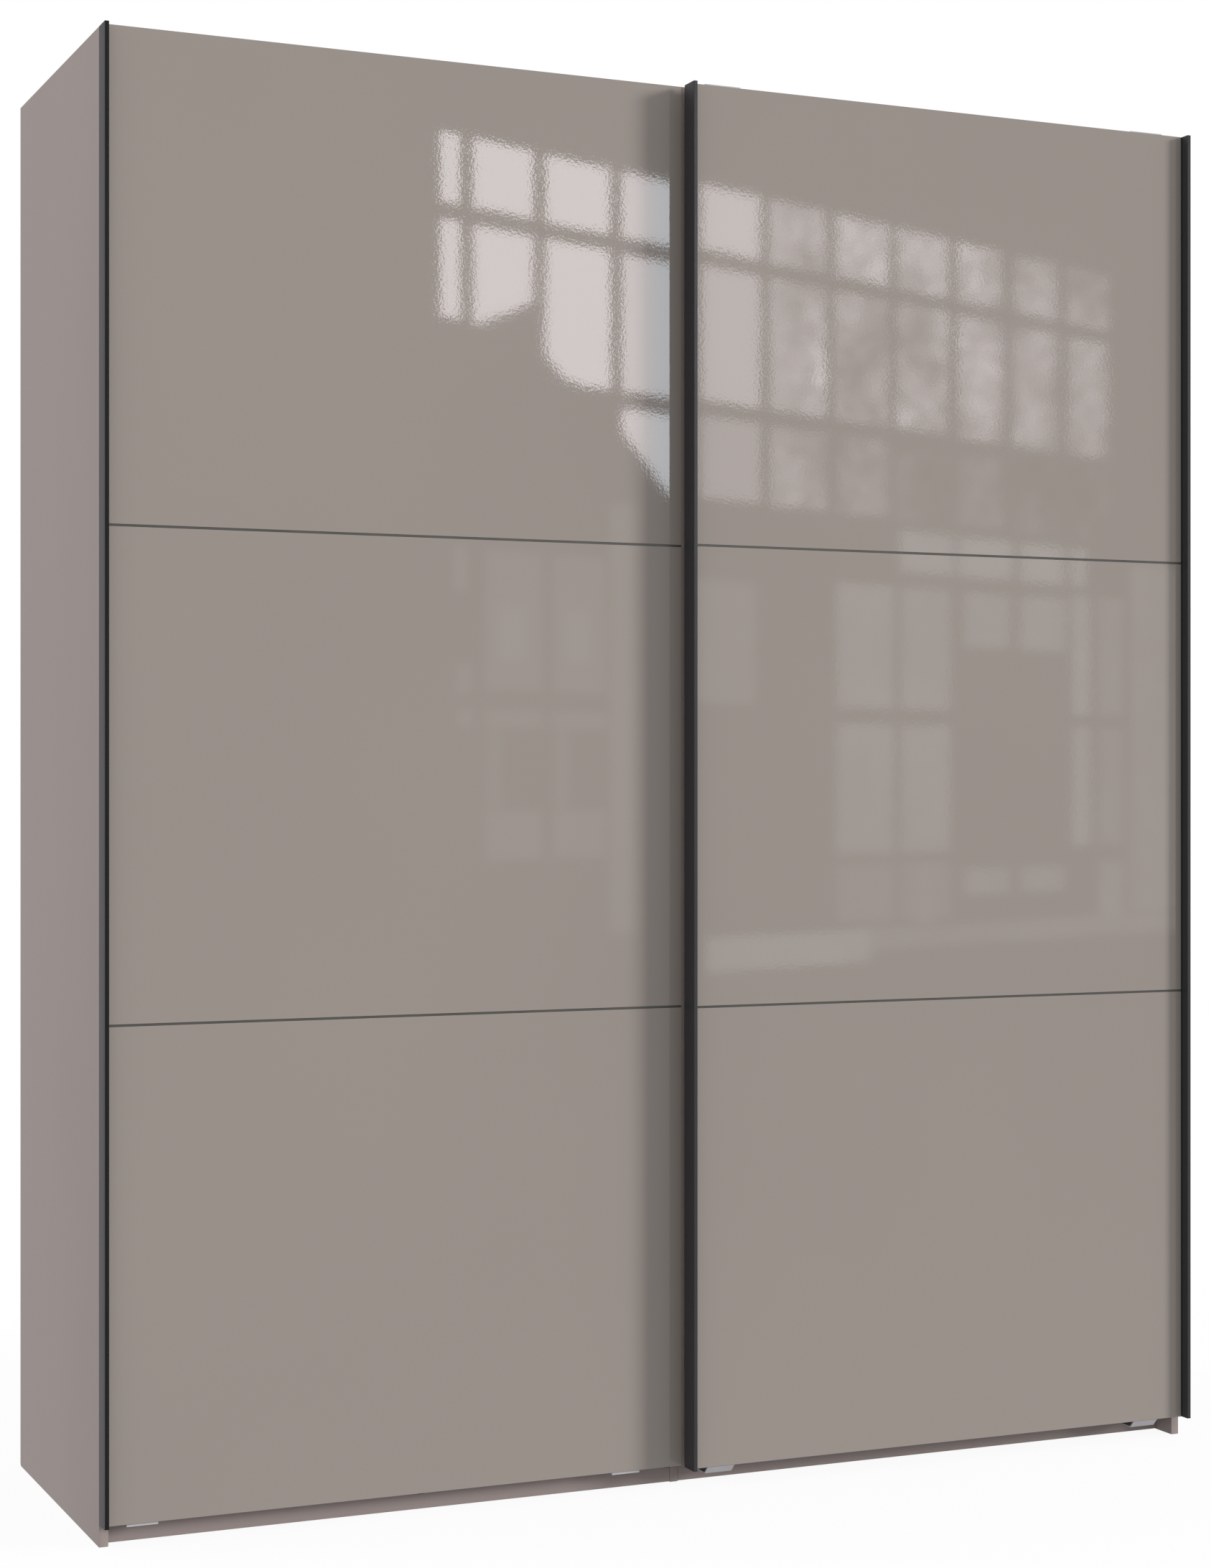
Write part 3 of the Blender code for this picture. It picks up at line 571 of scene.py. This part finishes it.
def build_running_rail_screws():
    """Screws through the base of the top running rail and one through each end stop."""
    low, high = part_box("top_running_rail")
    base_thickness = 0.003
    base_top = low.z + base_thickness
    y = (LEFT_TRACK_Y + RIGHT_TRACK_Y) / 2
    end_inset = 0.09
    count = 11
    for k in range(count):
        x = low.x + end_inset + (high.x - low.x - 2 * end_inset) * k / (count - 1)
        add_screw("running_rail_screw_{}".format(k + 1), (x, y, base_top), "z", 1, "carcass")
    towards_wall = 0.004
    behind_track = 0.0215
    for side, outward in (("left", -1), ("right", 1)):
        stop_low, stop_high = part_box("rail_end_stop_" + side)
        add_screw("end_stop_screw_" + side,
                  ((stop_low.x + stop_high.x) / 2 + outward * towards_wall,
                   LEFT_TRACK_Y + behind_track, stop_high.z), "z", 1, "carcass", radius=0.003)


def build_back_fittings():
    """Cover strip over the joint of the back leaves and the nail heads that hold the leaves."""
    low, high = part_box("back_panel_left")
    right_low, right_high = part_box("back_panel_right")
    joint = (high.x + right_low.x) / 2
    rear = high.y
    half = [(0.013, 0.0), (0.013, 0.0007), (0.010, 0.0014), (0.002, 0.0016)]
    strip = ([(joint - reach, rear + rise) for reach, rise in half]
             + [(joint + reach, rear + rise) for reach, rise in reversed(half)])
    end_gap = 0.001
    layered("back_joint_strip", [([strip], low.z + end_gap, high.z - end_gap)], "z", "nylon",
            "carcass", edge=0.0003)
    head = [(0.0, -0.0005), (0.0016, -0.0005), (0.0024, 0.0), (0.0024, 0.0005), (0.0013, 0.0010),
            (0.0, 0.0011)]
    for index, (x, y, z) in enumerate(nail_places(low, right_high, joint, rear), start=1):
        turned("back_nail_{}".format(index), head, (x, y, z), "y", "grey_steel", "carcass",
               steps=12, look=ZINC)


def nail_places(low, high, joint, rear):
    """Nails along the top and bottom of each back leaf, then in pairs up the joint strip."""
    rows, columns = 15, 6
    side_inset = 0.06
    edge_inset = 0.0075
    places = []
    for left, right in ((low.x, joint), (joint, high.x)):
        for k in range(columns):
            x = left + side_inset + (right - left - 2 * side_inset) * k / (columns - 1)
            places += [(x, rear, low.z + edge_inset), (x, rear, high.z - edge_inset)]
    strip_thickness = 0.0015
    strip_face = rear + strip_thickness
    end_inset = 0.07
    apart = 0.0045
    stagger = 0.004
    for k in range(rows):
        z = low.z + end_inset + (high.z - low.z - 2 * end_inset) * k / (rows - 1)
        places += [(joint - apart, strip_face, z + stagger),
                   (joint + apart, strip_face, z - stagger)]
    return places


# ---------------------------------------------------------------- door pieces
def profile_outline(low, high, corner=0.0010, groove=0.0004):
    """Section of a door's edge profile, with rounded front corners and two fine side grooves."""
    arc_steps = 5
    bead_end = 0.0060
    groove_places = (0.0070, 0.0135)
    rear_break = 0.0005
    points = []
    for cx, start in ((low.x + corner, pi), (high.x - corner, 1.5 * pi)):
        for step in range(arc_steps + 1):
            angle = start + pi / 2 * step / arc_steps
            points.append((cx + corner * cos(angle), low.y + corner + corner * sin(angle)))
    right = [(high.x, low.y + bead_end)]
    for y in (low.y + place for place in groove_places):
        right += [(high.x, y), (high.x - groove, y + groove), (high.x, y + 2 * groove)]
    left = [(low.x + high.x - x, y) for x, y in reversed(right)]
    rear = [(high.x, high.y - rear_break), (high.x - rear_break, high.y),
            (low.x + rear_break, high.y), (low.x, high.y - rear_break)]
    return points + right + rear + left


def build_edge_profiles():
    """Dark extruded profiles, capped at both ends, and a seal against each door's glass; the left
    door's profile has painted shade on its front face and painted light on its outward side face.
    """
    cap = 0.0010
    seal_width = 0.0014
    seal_front = 0.0010
    seal_depth = 0.0005
    for node, body, glass_side in (("left_door_edge_profile", "left_door", 1),
                                   ("right_door_left_profile", "right_door", 1),
                                   ("right_door_right_profile", "right_door", -1)):
        low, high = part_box(node)
        outline = profile_outline(low, high)
        bar = layered(node + "_bar", [([outline], low.z + cap, high.z - cap)], "z", "graphite",
                      body, replaced=[node],
                      look=PROFILE_FRONT_PAINTED_SHADE if body == "left_door" else None)
        # Painted shade and light: the left door's profile front takes the darker copy and its
        # outward face the lighter copy.
        if body == "left_door":
            bar.data.materials.append(PROFILE_SIDE_PAINTED_LIGHT)
            for face in bar.data.polygons:
                turned_outwards = face.normal.x < -0.6
                face.material_index = int(turned_outwards)
        for end, z_low, z_high in (("top", high.z - cap, high.z), ("foot", low.z, low.z + cap)):
            rounded_box("{}_cap_{}".format(node, end), (low.x, low.y, z_low),
                        (high.x, high.y, z_high), "black_plastic", body, radius=0.0004)
        edge = high.x if glass_side == 1 else low.x
        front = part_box(body + "_glass_2")[0].y
        ends = sorted((edge, edge + glass_side * seal_width))
        rounded_box(node + "_seal", (ends[0], front - seal_front, low.z + cap),
                    (ends[1], front + seal_depth, high.z - cap), "black_plastic", body,
                    radius=0.0004)


def build_edge_trim():
    """Slim trim on the left door's free edge, with two fine lines down its front."""
    node = "left_door_edge_trim"
    low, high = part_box(node)
    line = 0.0006
    line_depth = 1.6 * line
    line_starts = (high.x - 0.0008, low.x + 0.0026)
    free_break = 0.0004
    glass_break = 0.0003
    front = []
    for x in line_starts:
        front += [(x, low.y), (x - line, low.y + line_depth), (x - 2 * line, low.y)]
    outline = ([(low.x + glass_break, low.y), (low.x, low.y + glass_break), (low.x, high.y),
                (high.x, high.y), (high.x, low.y + free_break), (high.x - free_break, low.y)]
               + front)
    layered(node + "_strip", [([outline], low.z, high.z)], "z", "edge_trim", "left_door",
            replaced=[node])


def build_hanger_screws():
    """Three screws through each hanger plate into the door."""
    plate_half = 0.025
    plate_thickness = 0.0025
    places = ((-0.015, 0.012), (0.015, 0.012), (0.0, 0.034))
    for side in SIDES:
        for index in (1, 2):
            node = "{}_door_hanger_{}".format(side, index)
            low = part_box(node)[0]
            middle = low.x + plate_half
            board_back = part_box(side + "_door_board")[1].y
            y = board_back + FIT + plate_thickness
            for k, (dx, dz) in enumerate(places, start=1):
                add_screw("{}_screw_{}".format(node, k), (middle + dx, y, low.z + dz), "y", 1,
                          side + "_door", radius=0.0038, height=0.0018)


def build_axle_nuts():
    """A washer and a hexagon nut on each axle end behind the tails of the right door's arms."""
    sunk = 0.0005
    washer, washer_radius = 0.0008, 0.0068
    nut, nut_radius = 0.0032, 0.0055
    thread, thread_radius = 0.0012, 0.0028
    for index in (1, 2):
        low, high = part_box("right_door_wheel_{}".format(index))
        axle = ((low.x + high.x) / 2, (low.z + high.z) / 2)
        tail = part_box("right_door_hanger_{}".format(index))[1].y - sunk
        layered("right_door_axle_nut_{}".format(index),
                [([circle(axle, washer_radius, count=24)], tail, tail + washer),
                 ([circle(axle, nut_radius, count=6)], tail + washer, tail + washer + nut),
                 ([circle(axle, thread_radius)], tail + washer + nut,
                  tail + washer + nut + thread)],
                "y", "grey_steel", "right_door", edge=0.0003, look=ZINC)


def build_wheels():
    """Finer grooved wheels, each with a steel bearing ring and dished faces."""
    hub = 0.0064
    dish = 0.0016
    rim_width = 0.0034
    rim_break = 0.0006
    groove = 0.0025
    groove_depth = 0.0015
    shoulder = 0.0008
    bore = 0.0034
    for side in SIDES:
        for index in (1, 2):
            node = "{}_door_wheel_{}".format(side, index)
            low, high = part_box(node)
            centre = (low + high) / 2
            rim = (high.z - low.z) / 2
            half = (high.y - low.y) / 2
            side_face = [(hub, half - dish), (rim - rim_width - shoulder, half - dish),
                         (rim - rim_width, half), (rim - rim_break, half),
                         (rim, half - rim_break), (rim, groove + shoulder),
                         (rim - groove_depth, groove)]
            outline = side_face + [(r, -a) for r, a in reversed(side_face)]
            turned(node + "_tyre", outline, centre, "y", "nylon", node, steps=48,
                   replaced=[node])
            ring = [(bore, half - 0.0012), (0.0045, half - 0.0009), (0.0050, half - dish),
                    (0.0055, half - dish), (0.0060, half - 0.0009), (hub, half - 0.0012)]
            bearing = ring + [(r, -a) for r, a in reversed(ring)]
            turned(node + "_bearing", bearing, centre, "y", "grey_steel", node, look=ZINC)


def build_right_guide_bodies():
    """Black plastic wedge bodies behind the right door's guide plates."""
    plate = 0.0022
    front_inset = 0.0034
    slope = 0.010
    behind_glass = 0.002
    rear_break = 0.001
    side_gap = 0.0006
    for index in (1, 2):
        node = "right_door_guide_{}".format(index)
        low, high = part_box(node)
        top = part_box("right_door_board")[0].z - FIT
        plate_top = low.z + plate
        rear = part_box("left_door_glass_1")[0].y + behind_glass
        section = [(low.y + front_inset, top), (low.y + front_inset + slope, plate_top),
                   (rear, plate_top), (rear, top - rear_break), (rear - rear_break, top)]
        layered(node + "_body", [([section], low.x + side_gap, high.x - side_gap)], "x",
                "black_plastic", "right_door", edge=0.0004)


build_drilled_panels()
build_edge_bands()
for bay_side in SIDES:
    build_shelf_pins(bay_side)
    build_cam_covers(bay_side)
build_rail_sockets()
build_running_rail_screws()
build_back_fittings()
build_edge_profiles()
build_edge_trim()
build_hanger_screws()
build_axle_nuts()
build_wheels()
build_right_guide_bodies()


# ---------------------------------------------------------------- studio
BACKDROP = (1.0, 1.0, 1.0)
AMBIENT = (0.87, 0.88, 0.90)
AMBIENT_BELOW = (0.38, 0.38, 0.38)
GLOSS_ROOM = (0.500, 0.505, 0.515)
HORIZON = (-0.35, 0.15)        # slope over which the ambient light changes
FLOOR_RADIUS = 40.0
FLOOR_DROP = 0.0005
FLOOR_PALE = (0.80, 0.80, 0.80)
FLOOR_PALER = (0.84, 0.84, 0.84)
FLOOR_GLOW = 0.93
FLOOR_FADE = (1.3, 3.6)

# Distances along the window are in metres from its near corner, on its upright plane.
WINDOW_PAST_SIDE = 0.1085      # near corner from the wardrobe's right side
WINDOW_AWAY = 4.1029           # near corner from the wardrobe's front
WINDOW_HEADING = -radians(22.2)
CARD_STEP = 0.0002             # later areas lie this much nearer the doors
PANE_PITCH = 0.3633
COLUMN_BARS = [-0.03, 0.113] + [0.440 + PANE_PITCH * k for k in range(10)]
ROW_BARS = (3.300, 3.020, 2.495, 2.155)
BAR_HALF = 0.028
FAR_COLUMN = 8                 # from this column on the bars look wider
FAR_BAR_EXTRA = 0.014
COLUMN_LEVELS = (1.0, 1.0, 1.0, 0.96, 0.76, 0.54, 0.42, 0.42, 0.50, 0.44, 0.36)
ROW_LEVELS = ((1.0,) * 11,
              (1.0, 1.0, 1.0, 0.95, 0.78, 0.90, 0.78, 0.92, 0.88, 0.88, 0.85),
              (1.0, 1.0, 0.95, 1.0, 0.50, 0.55, 0.36, 0.30, 0.22, 0.20, 0.18))
ROOFLINE = ((-0.05, 2.69), (0.15, 2.67), (0.29, 2.72), (0.42, 2.78), (0.43, 2.68),
            (0.48, 2.60), (0.55, 2.54), (0.65, 2.52), (0.78, 2.51), (0.84, 2.38),
            (0.92, 2.31), (1.00, 2.24), (1.08, 2.17), (1.20, 2.16), (4.2, 2.16))
SKY_FROM = (0.94, 1.04)
SKY_TO = (1.165, 1.20)
SKY_TINT = (0.86, 0.955, 1.03)
FAINT_GAIN = 1.9


def add_floor():
    """Pale round floor that fades into the white background towards its rim."""
    solid = bmesh.new()
    bmesh.ops.create_circle(solid, cap_ends=True, segments=96, radius=FLOOR_RADIUS)
    mesh = bpy.data.meshes.new("studio_floor")
    solid.to_mesh(mesh)
    solid.free()
    floor = bpy.data.objects.new("studio_floor", mesh)
    bpy.context.scene.collection.objects.link(floor)
    floor.location.z = -FLOOR_DROP
    floor.visible_glossy = False
    floor.visible_diffuse = False
    material, tree, shader, coords = start_material("studio_floor")
    speckle = noise(tree, coords, scale=60.0, detail=4.0)
    tone = mixed_colour(tree, speckle, FLOOR_PALE, FLOOR_PALER)
    tree.links.new(tone, shader.inputs["Base Color"])
    shader.inputs["Roughness"].default_value = 0.8
    shader.inputs["Specular IOR Level"].default_value = 0.0
    glow = tree.nodes.new("ShaderNodeEmission")
    glow.inputs["Color"].default_value = (*BACKDROP, 1.0)
    length = tree.nodes.new("ShaderNodeVectorMath")
    length.operation = "LENGTH"
    tree.links.new(coords, length.inputs[0])
    fade = spread(tree, length.outputs["Value"], FLOOR_GLOW, 1.0, *FLOOR_FADE)
    blend = tree.nodes.new("ShaderNodeMixShader")
    tree.links.new(fade, blend.inputs["Fac"])
    tree.links.new(shader.outputs["BSDF"], blend.inputs[1])
    tree.links.new(glow.outputs["Emission"], blend.inputs[2])
    tree.links.new(blend.outputs["Shader"], tree.nodes["Material Output"].inputs["Surface"])
    mesh.materials.append(material)


def set_world():
    """A white backdrop for the camera, an even room for gloss, one darker below for the rest."""
    world = bpy.data.worlds.new("studio")
    bpy.context.scene.world = world
    world.use_nodes = True
    tree = world.node_tree
    tree.nodes.clear()
    rays = tree.nodes.new("ShaderNodeLightPath")
    towards = tree.nodes.new("ShaderNodeTexCoord").outputs["Generated"]
    split = tree.nodes.new("ShaderNodeSeparateXYZ")
    tree.links.new(towards, split.inputs["Vector"])
    height = spread(tree, split.outputs["Z"], 0.0, 1.0, *HORIZON)
    diffuse_room = mixed_colour(tree, height, AMBIENT_BELOW, AMBIENT)
    room = mixed_colour(tree, rays.outputs["Is Glossy Ray"], diffuse_room, GLOSS_ROOM)
    backdrop = tree.nodes.new("ShaderNodeBackground")
    backdrop.inputs["Color"].default_value = (*BACKDROP, 1.0)
    ambient = tree.nodes.new("ShaderNodeBackground")
    tree.links.new(room, ambient.inputs["Color"])
    blend = tree.nodes.new("ShaderNodeMixShader")
    output = tree.nodes.new("ShaderNodeOutputWorld")
    tree.links.new(rays.outputs["Is Camera Ray"], blend.inputs["Fac"])
    tree.links.new(ambient.outputs["Background"], blend.inputs[1])
    tree.links.new(backdrop.outputs["Background"], blend.inputs[2])
    tree.links.new(blend.outputs["Shader"], output.inputs["Surface"])


def add_sun(name, towards_light, strength, softness, colour):
    """A soft directional light that doesn't show as a spot in gloss."""
    data = bpy.data.lights.new(name, "SUN")
    data.energy = strength
    data.angle = softness
    data.color = colour
    lamp = bpy.data.objects.new(name, data)
    bpy.context.scene.collection.objects.link(lamp)
    lamp.rotation_euler = Vector(towards_light).to_track_quat("Z", "Y").to_euler()
    lamp.visible_glossy = False


def direction(azimuth, elevation):
    """A unit vector; azimuth 0 is -Y and 90 degrees is +X."""
    a, e = radians(azimuth), radians(elevation)
    return (sin(a) * cos(e), -cos(a) * cos(e), sin(e))


def multiplied(tree, first, second):
    """The product of two value outputs."""
    product = tree.nodes.new("ShaderNodeMath")
    product.operation = "MULTIPLY"
    tree.links.new(first, product.inputs[0])
    tree.links.new(second, product.inputs[1])
    return product.outputs["Value"]


def glow_material(name, colour, strength, clear_to, leafy_from, leaf_depth):
    """Light from a card's faces by their level, mottled by foliage towards the card's far end."""
    material = bpy.data.materials.new(name)
    material.use_nodes = True
    tree = material.node_tree
    tree.nodes.clear()
    output = tree.nodes.new("ShaderNodeOutputMaterial")
    glow = tree.nodes.new("ShaderNodeEmission")
    tree.links.new(glow.outputs["Emission"], output.inputs["Surface"])
    level = tree.nodes.new("ShaderNodeAttribute")
    level.attribute_name = "level"
    coords = tree.nodes.new("ShaderNodeTexCoord").outputs["Object"]
    split = tree.nodes.new("ShaderNodeSeparateXYZ")
    tree.links.new(coords, split.inputs["Vector"])
    sky = multiplied(tree, spread(tree, split.outputs["X"], 0.0, 1.0, *SKY_FROM),
                     spread(tree, split.outputs["X"], 1.0, 0.0, *SKY_TO))
    tree.links.new(mixed_colour(tree, sky, colour, SKY_TINT), glow.inputs["Color"])
    reach = spread(tree, split.outputs["X"], 0.0, 1.0, clear_to, leafy_from)
    big = noise(tree, coords, scale=2.6, detail=2.0, roughness=0.5)
    small = noise(tree, coords, scale=15.0, detail=5.0, roughness=0.70)
    shade, shine = 1.0 - leaf_depth, 1.0 + leaf_depth
    leaves = multiplied(tree, spread(tree, big, shade, shine, from_low=0.38, from_high=0.62),
                        spread(tree, small, shade, shine, from_low=0.40, from_high=0.60))
    mottle = tree.nodes.new("ShaderNodeMix")
    tree.links.new(reach, mottle.inputs["Factor"])
    mottle.inputs[2].default_value = 1.0
    tree.links.new(leaves, mottle.inputs[3])
    lit = multiplied(tree, level.outputs["Fac"], mottle.outputs[0])
    power = tree.nodes.new("ShaderNodeMath")
    power.operation = "MULTIPLY"
    power.inputs[1].default_value = strength
    tree.links.new(lit, power.inputs[0])
    tree.links.new(power.outputs["Value"], glow.inputs["Strength"])
    return material


def add_card(name, areas, material):
    """Flat areas (polygon of distance along and height, level) on the window's upright plane.

    The card is seen only in gloss, and only from its front.
    """
    solid = bmesh.new()
    level = solid.faces.layers.float.new("level")
    for index, (polygon, brightness) in enumerate(areas):
        corners = [solid.verts.new((along, CARD_STEP * index, height))
                   for along, height in polygon]
        face = solid.faces.new(corners)
        face[level] = brightness
    mesh = bpy.data.meshes.new(name)
    solid.to_mesh(mesh)
    solid.free()
    mesh.materials.append(material)
    card = bpy.data.objects.new(name, mesh)
    bpy.context.scene.collection.objects.link(card)
    wardrobe_low, wardrobe_high = cad_bounds
    card.location = (wardrobe_high[0] + WINDOW_PAST_SIDE, wardrobe_low[1] - WINDOW_AWAY, 0.0)
    card.rotation_euler = (0.0, 0.0, WINDOW_HEADING)
    card.visible_camera = False
    card.visible_diffuse = False
    card.visible_shadow = False
    card.visible_transmission = False


def roof_height(along):
    """Height of the roofs outside, at a distance along the window."""
    for (a, low), (b, high) in zip(ROOFLINE, ROOFLINE[1:]):
        if a <= along <= b:
            return low + (high - low) * (along - a) / (b - a)
    return ROOFLINE[-1][1]


def window_areas():
    """Bright panes between mullions and transoms, cut off below by the roofs outside."""
    sliver = 0.001
    low_corner = 0.02
    areas = []
    for column, (left, right) in enumerate(zip(COLUMN_BARS, COLUMN_BARS[1:])):
        wider = FAR_BAR_EXTRA if column >= FAR_COLUMN else 0.0
        left, right = left + BAR_HALF + wider, right - BAR_HALF - wider
        stops = [left] + [a for a, _ in ROOFLINE if left < a < right] + [right]
        for row, (top, bottom) in enumerate(zip(ROW_BARS, ROW_BARS[1:])):
            top, bottom = top - BAR_HALF, bottom + BAR_HALF
            foot = [(a, min(max(bottom, roof_height(a)), top)) for a in stops]
            level = COLUMN_LEVELS[column] * ROW_LEVELS[row][column]
            for (a, low), (b, high) in zip(foot, foot[1:]):
                if top - max(low, high) > sliver or top - min(low, high) > low_corner:
                    areas.append(([(a, low), (b, high), (b, top), (a, top)], level))
    return areas


def faint_areas():
    """Weak lights and shades under the window: lower panes, house fronts and a sill."""
    areas = []

    def patch(left, right, bottom, top, level):
        corners = [(left, bottom), (right, bottom), (right, top), (left, top)]
        areas.append((corners, GLOSS_ROOM[1] + FAINT_GAIN * level))

    # windows of the nearest house front, three rows
    for left, right in ((1.94, 2.27), (2.32, 2.62)):
        for bottom, top, level in ((1.47, 1.93, 0.55), (0.93, 1.41, 0.50),
                                   (0.68, 0.89, 0.25)):
            patch(left, right, bottom, top, level)
    patch(2.41, 2.53, 0.66, 0.89, 0.35)
    # the row under the bright panes, then the windows below its middle
    for left, right in ((2.31, 2.64), (2.68, 3.02), (3.08, 3.37), (3.43, 3.52)):
        patch(left, right, 1.99, 2.14, 0.75)
    for left, right in ((2.71, 3.00), (3.08, 3.38)):
        patch(left, right, 1.72, 1.93, 0.55)
        patch(left, right, 0.76, 0.86, 0.42)
    # far windows and the wall beside them
    for left, right, level in ((3.43, 3.55, 0.62), (3.62, 3.79, 0.30)):
        patch(left, right, 1.47, 1.95, level)
        patch(left, right, 0.94, 1.42, level)
    patch(3.62, 3.79, 0.64, 0.87, 0.35)
    patch(3.85, 4.60, 0.66, 2.10, 0.30)
    # the sill in two strengths and the light wall at its near end
    patch(1.22, 2.13, 0.53, 0.65, 0.60)
    patch(2.13, 4.30, 0.57, 0.65, 0.28)
    patch(1.15, 1.48, 1.47, 1.90, 0.30)
    # weak windows that show in the left door
    for left, right in ((0.19, 0.45), (0.50, 0.75)):
        patch(left, right, 1.49, 1.95, 0.24)
        patch(left + 0.06, right - 0.08, 1.59, 1.77, 0.40)
        patch(left, right, 1.37, 1.43, 0.24)
        patch(left, right, 0.94, 1.10, 0.24)
        patch(left + 0.01, left + 0.07, 1.11, 1.36, 0.20)
    patch(0.05, 0.11, 1.81, 1.95, 0.26)
    patch(0.06, 0.13, 1.48, 1.57, 0.24)
    patch(0.07, 0.13, 1.37, 1.43, 0.28)
    patch(0.77, 0.90, 0.68, 2.14, 0.26)
    return areas


add_floor()
set_world()
add_sun("key_light", direction(azimuth=58.5, elevation=14), strength=2.65,
        softness=radians(14), colour=(1.0, 0.985, 0.965))
add_sun("side_fill", direction(azimuth=-112, elevation=14), strength=1.38,
        softness=radians(18), colour=(1.0, 0.98, 0.985))
add_card("window_panes", window_areas(),
         glow_material("window_glow", (1.0, 0.955, 0.985), strength=8.05, clear_to=1.48,
                       leafy_from=1.75, leaf_depth=0.44))
add_card("faint_panes", faint_areas(),
         glow_material("faint_glow", (1.0, 1.0, 0.98), strength=1.0, clear_to=0.90,
                       leafy_from=2.20, leaf_depth=0.08))


# ---------------------------------------------------------------- camera
CAMERA_LEFT = 1.0357           # from the left side panel's front foot
CAMERA_AWAY = 4.3228
EYE_HEIGHT = 1.1825
CAMERA_TURN = radians(23.66)   # to the right of straight ahead
SENSOR_WIDTH = 36.0
LENS = 64.75
LENS_RISE = 0.0009
FARTHEST = 200.0


def add_camera():
    """Eye height camera to the left of the wardrobe, level, turned towards the doors."""
    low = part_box("side_panel_left")[0]
    data = bpy.data.cameras.new("camera")
    data.sensor_fit = "AUTO"
    data.sensor_width = SENSOR_WIDTH
    data.lens = LENS
    data.shift_y = LENS_RISE
    data.clip_end = FARTHEST
    camera = bpy.data.objects.new("camera", data)
    bpy.context.scene.collection.objects.link(camera)
    camera.location = (low.x - CAMERA_LEFT, low.y - CAMERA_AWAY, EYE_HEIGHT)
    camera.rotation_euler = (pi / 2, 0.0, -CAMERA_TURN)
    bpy.context.scene.camera = camera


add_camera()
bpy.context.scene.view_settings.view_transform = "Standard"
